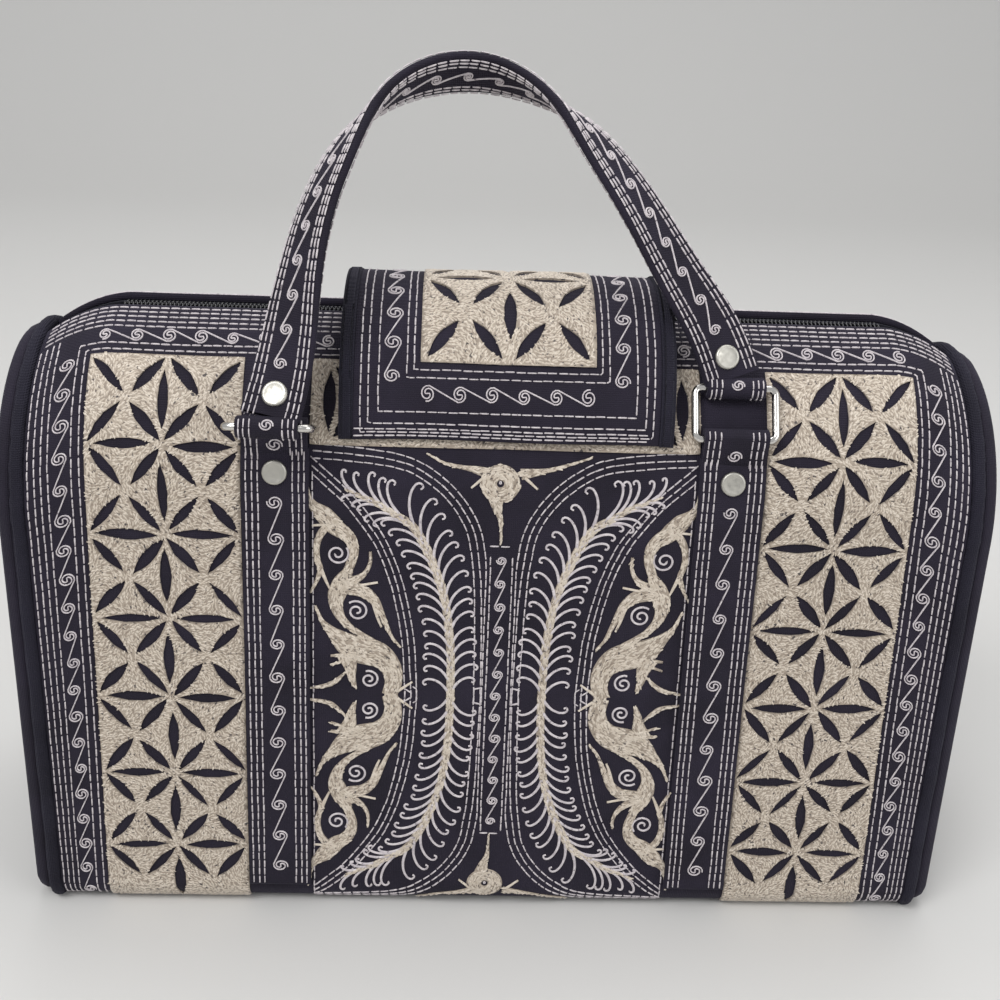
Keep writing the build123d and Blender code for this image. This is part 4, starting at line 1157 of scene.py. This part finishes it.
# The curved frames, feather and vine of the left half, from the middle up; what lies below mirrors them.
OUTER_CURVE = ((-74, 188.5), (-66.5, 182), (-59, 175), (-52, 166), (-46, 156.5), (-41.5, 145.5), (-38, 132.5),
               (-35, 115), (-33.5, 91), (-33.5, 88.4))
INNER_CURVE = ((-74, 190.5), (-57.5, 189.5), (-39, 187), (-28, 181.5), (-19.5, 173.5), (-13, 162.5),
               (-10.5, 150),
               (-9, 133), (-8, 91), (-8, 88.4))
SPINE = ((-59, 178), (-55, 176), (-48, 173), (-42, 169), (-34.5, 164), (-29.5, 156), (-26, 148), (-23, 139.5),
         (-20.5, 129), (-18.5, 111.5), (-18, 91))
VINE = (
    (((-74, 182.5), (-72.5, 173), (-67, 167), (-63, 162.5), (-59.5, 160), (-57, 156.5), (-56.5, 152),
      (-57.5, 147.5),
      (-59, 143.5)), (1.0, 1.2, 3.4, 7.0, 7.4, 5.6, 4.4, 3.8, 3.4)),
    (((-58, 145), (-61, 139.5), (-62.5, 135), (-63, 130.5), (-61.5, 125.5), (-58, 121), (-54, 118),
      (-49, 114.5)),
     (3.6, 6.4, 7.2, 5.0, 3.4, 2.6, 2.4, 3.0)),
    (((-63, 165), (-67, 162), (-69.5, 158), (-70.5, 153), (-70, 148.5), (-69, 144.5), (-71, 138.5),
      (-73, 135)),
     (4.0, 3.2, 2.8, 2.6, 2.4, 2.2, 1.4, 0.9)),
    (((-69, 145.5), (-67, 140.5), (-65.5, 137)), (1.8, 1.3, 0.8)),
    (((-72, 163), (-66, 163.5)), (0.9, 1.2)),
    (((-61, 138.5), (-54.5, 141.5), (-51.5, 144.5), (-50, 148.5), (-50, 153)), (5.4, 3.6, 2.0, 1.4, 1.0)),
    (((-54, 138.5), (-47, 140)), (1.1, 0.9)),
    (((-60, 138), (-52.5, 136), (-48.5, 132.5), (-46.5, 128.5), (-44.5, 124), (-41.5, 117), (-38.5, 113)),
     (6.4, 5.6, 4.2, 3.2, 2.0, 1.3, 0.9)),
    (((-48.5, 131), (-47, 125), (-45.5, 121)), (1.8, 1.3, 0.8)),
    (((-71, 129.5), (-68, 122.5), (-63, 117), (-57.5, 112.5), (-51.5, 110.5), (-45.5, 108), (-41.5, 103),
      (-40.5, 97),
      (-42, 91)), (1.0, 1.6, 4.5, 9.5, 12.5, 11.0, 8.5, 7.0, 6.0)),
    (((-59, 109), (-57.5, 104), (-56.8, 99), (-55.5, 94.5)), (8.0, 5.5, 3.4, 1.4)),
    (((-39, 92.5), (-33, 97)), (1.4, 0.8)),
    (((-65, 108), (-54, 109)), (1.0, 3.0)),
    (((-65, 104), (-58, 106.5), (-53, 107.5)), (1.0, 1.4, 2.6)),
    (((-73, 93.5), (-65, 95.5), (-59, 101)), (0.9, 2.2, 0.9)),
)
SPIRALS = (((-62.5, 151.5), 4.5, 40), ((-55, 127.5), 4.5, 130), ((-50, 97.8), 3.9, 110))
BARBS = 20
BARB_STOPS = (0.0, 0.35, 0.5, 0.75, 0.88, 1.0)
LEFT_GROWTH = (1.0, 1.0, 1.0, 0.88, 0.58, 0.32)
RIGHT_GROWTH = (1.0, 1.0, 1.15, 1.25, 0.85, 0.6)
# Barb shapes (out from the spine, along it) at its foot and at its tip.
LOW_BARB = np.array([(0.0, 0.0), (0.15, 0.26), (0.42, 0.56), (0.72, 0.70), (0.93, 0.68), (1.02, 0.57),
                     (0.97, 0.47), (0.88, 0.51)])
HIGH_BARB = np.array([(0.0, 0.0), (0.10, 0.34), (0.28, 0.76), (0.55, 1.10), (0.84, 1.26), (0.99, 1.20),
                      (0.98, 1.06), (0.88, 1.04)])
# Stops along a barb, and its widths at them.
BARB_WIDTHS = ((0, 0.3, 0.7, 1), (1.7, 1.1, 0.95, 0.75))
SPINE_WIDTHS = (3.4, 3.2, 3.4, 3.2, 3.4, 3.6, 3.2, 2.6, 1.2)
OUTER_ROWS = (-2.4, -0.1, 2.2)
INNER_ROWS = (-0.8, 1.8, 4.4)


def placed(points, side, half):
    """Points of the left upper half moved to one of the four quarters."""
    points = np.asarray(points, float)
    return np.stack([points[:, 0] * -side, MIDDLE + (points[:, 1] - MIDDLE) * half], -1)


def centre_lines(made, side):
    """Pale stitching of one half of the middle: curved frames and the centre column."""
    def frame_line(route):
        dashes(made, panel, route[np.abs(route[:, 0]) < 73])

    for half in HALVES:
        for distance in OUTER_ROWS:
            frame_line(placed(offset_route(OUTER_CURVE, distance), side, half))
        for distance in INNER_ROWS:
            route = offset_route(INNER_CURVE, distance)
            route[:, 0] = np.minimum(route[:, 0], -5.8)
            frame_line(placed(route, side, half))
    dashes(made, panel, [(side * 4.2, 27), (side * 4.2, 155)])
    dashes(made, panel, [(side * 71.8, -10), (side * 71.8, 188)])


def filled_ribbon(made, route, widths):
    """Leafy band of filling stitches along a route of close points."""
    width = np.interp(np.linspace(0, 1, len(route)), np.linspace(0, 1, len(widths)), widths)
    broad = width.max() > THIN_LEAF
    # Broad bands take finish 1, the darker cream of painted shade, under their stitches.
    ribbons(made, panel, route[None], width[None], LEAF_HEIGHT, finish=1 if broad else 0)
    if not broad:
        return
    ahead, aside = heading(route)
    count = int(width.sum() * np.linalg.norm(route[1] - route[0]) / LEAF_STITCH_AREA)
    at = RANDOM.choice(len(route), count, p=width / width.sum())
    shift = RANDOM.uniform(-0.48, 0.48, count) * np.maximum(0.3, width[at] - 0.5)
    lengths = RANDOM.uniform(1.6, 2.5, (count, 1))
    direction = ahead[at] + aside[at] * RANDOM.normal(0, 0.25, (count, 1))
    short_stitches(made, panel, route[at] + aside[at] * shift[:, None], direction, lengths,
                   RANDOM.uniform(0.7, 0.95, (count, 1)), RANDOM.uniform(0.35, 0.6, (count, 1)), LEAF_LIFT)


def leaf(made, points, side, half, widths):
    """Leafy band through listed points."""
    filled_ribbon(made, placed(smooth_route(points, ROUTE_STEP), side, half), widths)


def fern(made, side, half):
    """Half a feather: a leafy spine with curved barbs ending in small hooks."""
    spine = smooth_route(SPINE, ROUTE_STEP)[::-1]
    ahead, aside = heading(spine)
    filled_ribbon(made, placed(spine, side, half), SPINE_WIDTHS)
    for lean, reach, growth in ((1, 10.4, LEFT_GROWTH), (-1, 9.8, RIGHT_GROWTH)):
        for k in range(BARBS):
            share = (k + 0.15 + 0.25 * (lean < 0)) / BARBS
            at = int(share * (len(spine) - 1))
            length = reach * np.interp(share, BARB_STOPS, growth) * RANDOM.uniform(0.93, 1.05)
            shape = length * (LOW_BARB + (HIGH_BARB - LOW_BARB) * share)
            points = spine[at] + shape[:, :1] * aside[at] * lean + shape[:, 1:] * ahead[at]
            route = smooth_route(points, ROUTE_STEP)
            widths = np.interp(np.linspace(0, 1, len(route)), *BARB_WIDTHS)
            ribbons(made, panel, placed(route, side, half)[None], widths[None], LEAF_HEIGHT, finish=2)


def spiral(made, centre, radius, start, side, half):
    """Curl of pale thread with a small hook in its middle."""
    angle = np.linspace(0, 3.3 * math.pi, 40)
    reach = radius * (1 - (angle / angle[-1]) * 0.86)
    path = centre + reach[:, None] * polar(math.radians(start) - angle)
    ribbons(made, panel, placed(path, side, half)[None], 0.85, LEAF_HEIGHT, finish=2)


def vines(made, side, half):
    for points, widths in VINE:
        leaf(made, points, side, half, widths)
    for centre, radius, start in SPIRALS:
        spiral(made, centre, radius, start, side, half)


def blossoms(made):
    """Small round flowers with wings at the top and the foot of the middle."""
    circle = polar(np.linspace(0, 2 * math.pi, 30))
    curl = np.linspace(-1, 1, 11)[:, None]
    hook = 0.95 * np.abs(curl) ** 0.6 * np.sign(curl) * polar(curl[:, 0] * 2.0)
    for half, radius in ((1, 8.2), (-1, 7.4)):
        centre = placed([(-1.6, 181.4)], -1, half)
        for ring in np.arange(2.3, radius - 0.6, 1.4):
            # Rings take finish 1, the darker cream of painted shade, under the stitches.
            ribbons(made, panel, (centre + ring * circle)[None], 1.9, 0.5, finish=1)
        turn = polar(RANDOM.uniform(0, 2 * math.pi, BLOSSOM_STITCHES))
        reach = (radius - 0.7) * np.sqrt(RANDOM.uniform(0.07, 1, (BLOSSOM_STITCHES, 1)))
        lengths = RANDOM.uniform(1.6, 2.4, (BLOSSOM_STITCHES, 1))
        short_stitches(made, panel, centre + reach * turn, left_of(turn), lengths, 0.85, LEAF_HEIGHT,
                       LEAF_LIFT)
        ribbons(made, panel, (centre + hook)[None], 0.5, 0.4, finish=2)
        leaf(made, [(-3.0, 175.5), (-2.4, 171.5), (-0.9, 166), (-0.6, 157)], -1, half, (6.0, 2.6, 1.1, 0.7))
        for side in HALVES:
            shift = -1.6 * side
            wing = [(-31 + shift, 192.2), (-22, 188.6), (-13 + shift, 186.6), (-6, 185.2)]
            leaf(made, wing, side, half, (0.7, 1.1, 1.9, 4.4))
            leaf(made, [(-7.5, 184), (-12.5, 179.5)], side, half, (1.3, 0.8))


def middle_field():
    """Embroidered strip between the bands, that goes on under the flap."""
    made = Batch()
    middle = 211
    petals = [(across, middle, 90, 24.0, 5.0) for across in (66.0, 42.0, 18.0)]
    petals.append((8.0, middle, 0, 12.0, 4.4))
    for centre in (54, 30):
        petals += [(centre + across * 5.5, middle + along * 8, across * along * 50, 15.0, 4.6)
                   for across, along in CORNERS]
    cream_field(made, panel, 0.0, 72.8, 194.5, FIELD_TOP, petals)
    return made


def make_embroidery():
    pale = Batch()
    for side in SIDES:
        border_lines(pale, side)
        centre_lines(pale, side)
    scrolls(pale, panel, (0, 27), (0, 155), radius=1.9, pitch=9.6)
    for s in (26, 156):
        dashes(pale, panel, [(-4.6, s), (4.6, s)])
    motif = Batch()
    for side in SIDES:
        for half in HALVES:
            fern(motif, side, half)
            vines(motif, side, half)
    blossoms(motif)
    strip = middle_field()
    motif.join(strip).join(strip.mirrored(0))
    make_pair("{}_thread", pale, WHITE, "cream_embroidery")
    make_pair("{}_motif_stitches", motif, EMBROIDERY, "cream_embroidery")


make_panels()
make_lattices()
make_ends()
make_bands()
make_rings()
make_handles()
make_flap()
make_zip()
make_embroidery()
paint_nodes()


# Room, light and camera
def make_room():
    """Pale floor that curves up into the backdrop."""
    material = new_material("pale_floor", (0.635, 0.628, 0.612), 0.75)[0]
    bend = 0.9
    wall = 1.3
    half = 5.0
    turn = np.linspace(0, math.pi / 2, 12)
    profile = [(-3.0, 0.0)]
    profile += [(wall + bend * math.sin(a), bend * (1 - math.cos(a))) for a in turn]
    profile.append((wall + bend, 4.0))
    points = [(x, y, z) for y, z in profile for x in (-half, half)]
    faces = [(2 * i, 2 * i + 1, 2 * i + 3, 2 * i + 2) for i in range(len(profile) - 1)]
    mesh = bpy.data.meshes.new("backdrop")
    mesh.from_pydata(points, [], faces)
    mesh.polygons.foreach_set("use_smooth", [True] * len(faces))
    mesh.materials.append(material)
    backdrop = bpy.data.objects.new("backdrop", mesh)
    bpy.context.scene.collection.objects.link(backdrop)


def make_lamp(name, place, target, size, power):
    lamp = bpy.data.lights.new(name, "AREA")
    lamp.shape = "RECTANGLE"
    lamp.size, lamp.size_y = size
    lamp.energy = power
    obj = bpy.data.objects.new(name, lamp)
    bpy.context.scene.collection.objects.link(obj)
    obj.location = place
    direction = Vector(target) - Vector(place)
    obj.rotation_euler = direction.to_track_quat("-Z", "Y").to_euler()


def make_light():
    world = bpy.data.worlds.new("studio")
    bpy.context.scene.world = world
    world.use_nodes = True
    sky = world.node_tree.nodes["Background"].inputs
    sky["Color"].default_value = (0.93, 0.94, 0.96, 1)
    sky["Strength"].default_value = 0.6
    make_lamp("key", (-0.7, -0.9, 1.5), (0, 0, 0.12), (0.9, 0.7), 16)
    make_lamp("fill", (1.1, -0.8, 0.8), (0, 0, 0.12), (0.9, 0.9), 6)
    make_lamp("top", (0.1, 0.5, 1.6), (0, 0, 0.15), (1.2, 0.8), 10)


CAMERA_PLACE = (-0.0215, -0.5011, 0.394)
CAMERA_YAW = math.radians(2.57)
CAMERA_PITCH = math.radians(24.93)
CAMERA_ROLL = math.radians(2.51)
FOCAL_SHARE = 1.303
SENSOR = 36.0


def make_camera():
    data = bpy.data.cameras.new("photo_view")
    data.sensor_width = SENSOR
    data.lens = FOCAL_SHARE * SENSOR
    data.clip_start = 0.01
    camera = bpy.data.objects.new("photo_view", data)
    bpy.context.scene.collection.objects.link(camera)
    camera.matrix_world = (Matrix.Translation(CAMERA_PLACE) @ Matrix.Rotation(-CAMERA_YAW, 4, "Z")
                           @ Matrix.Rotation(math.pi / 2 - CAMERA_PITCH, 4, "X")
                           @ Matrix.Rotation(CAMERA_ROLL, 4, "Z"))
    bpy.context.scene.camera = camera


make_room()
make_light()
make_camera()
bpy.context.scene.view_settings.view_transform = "Standard"
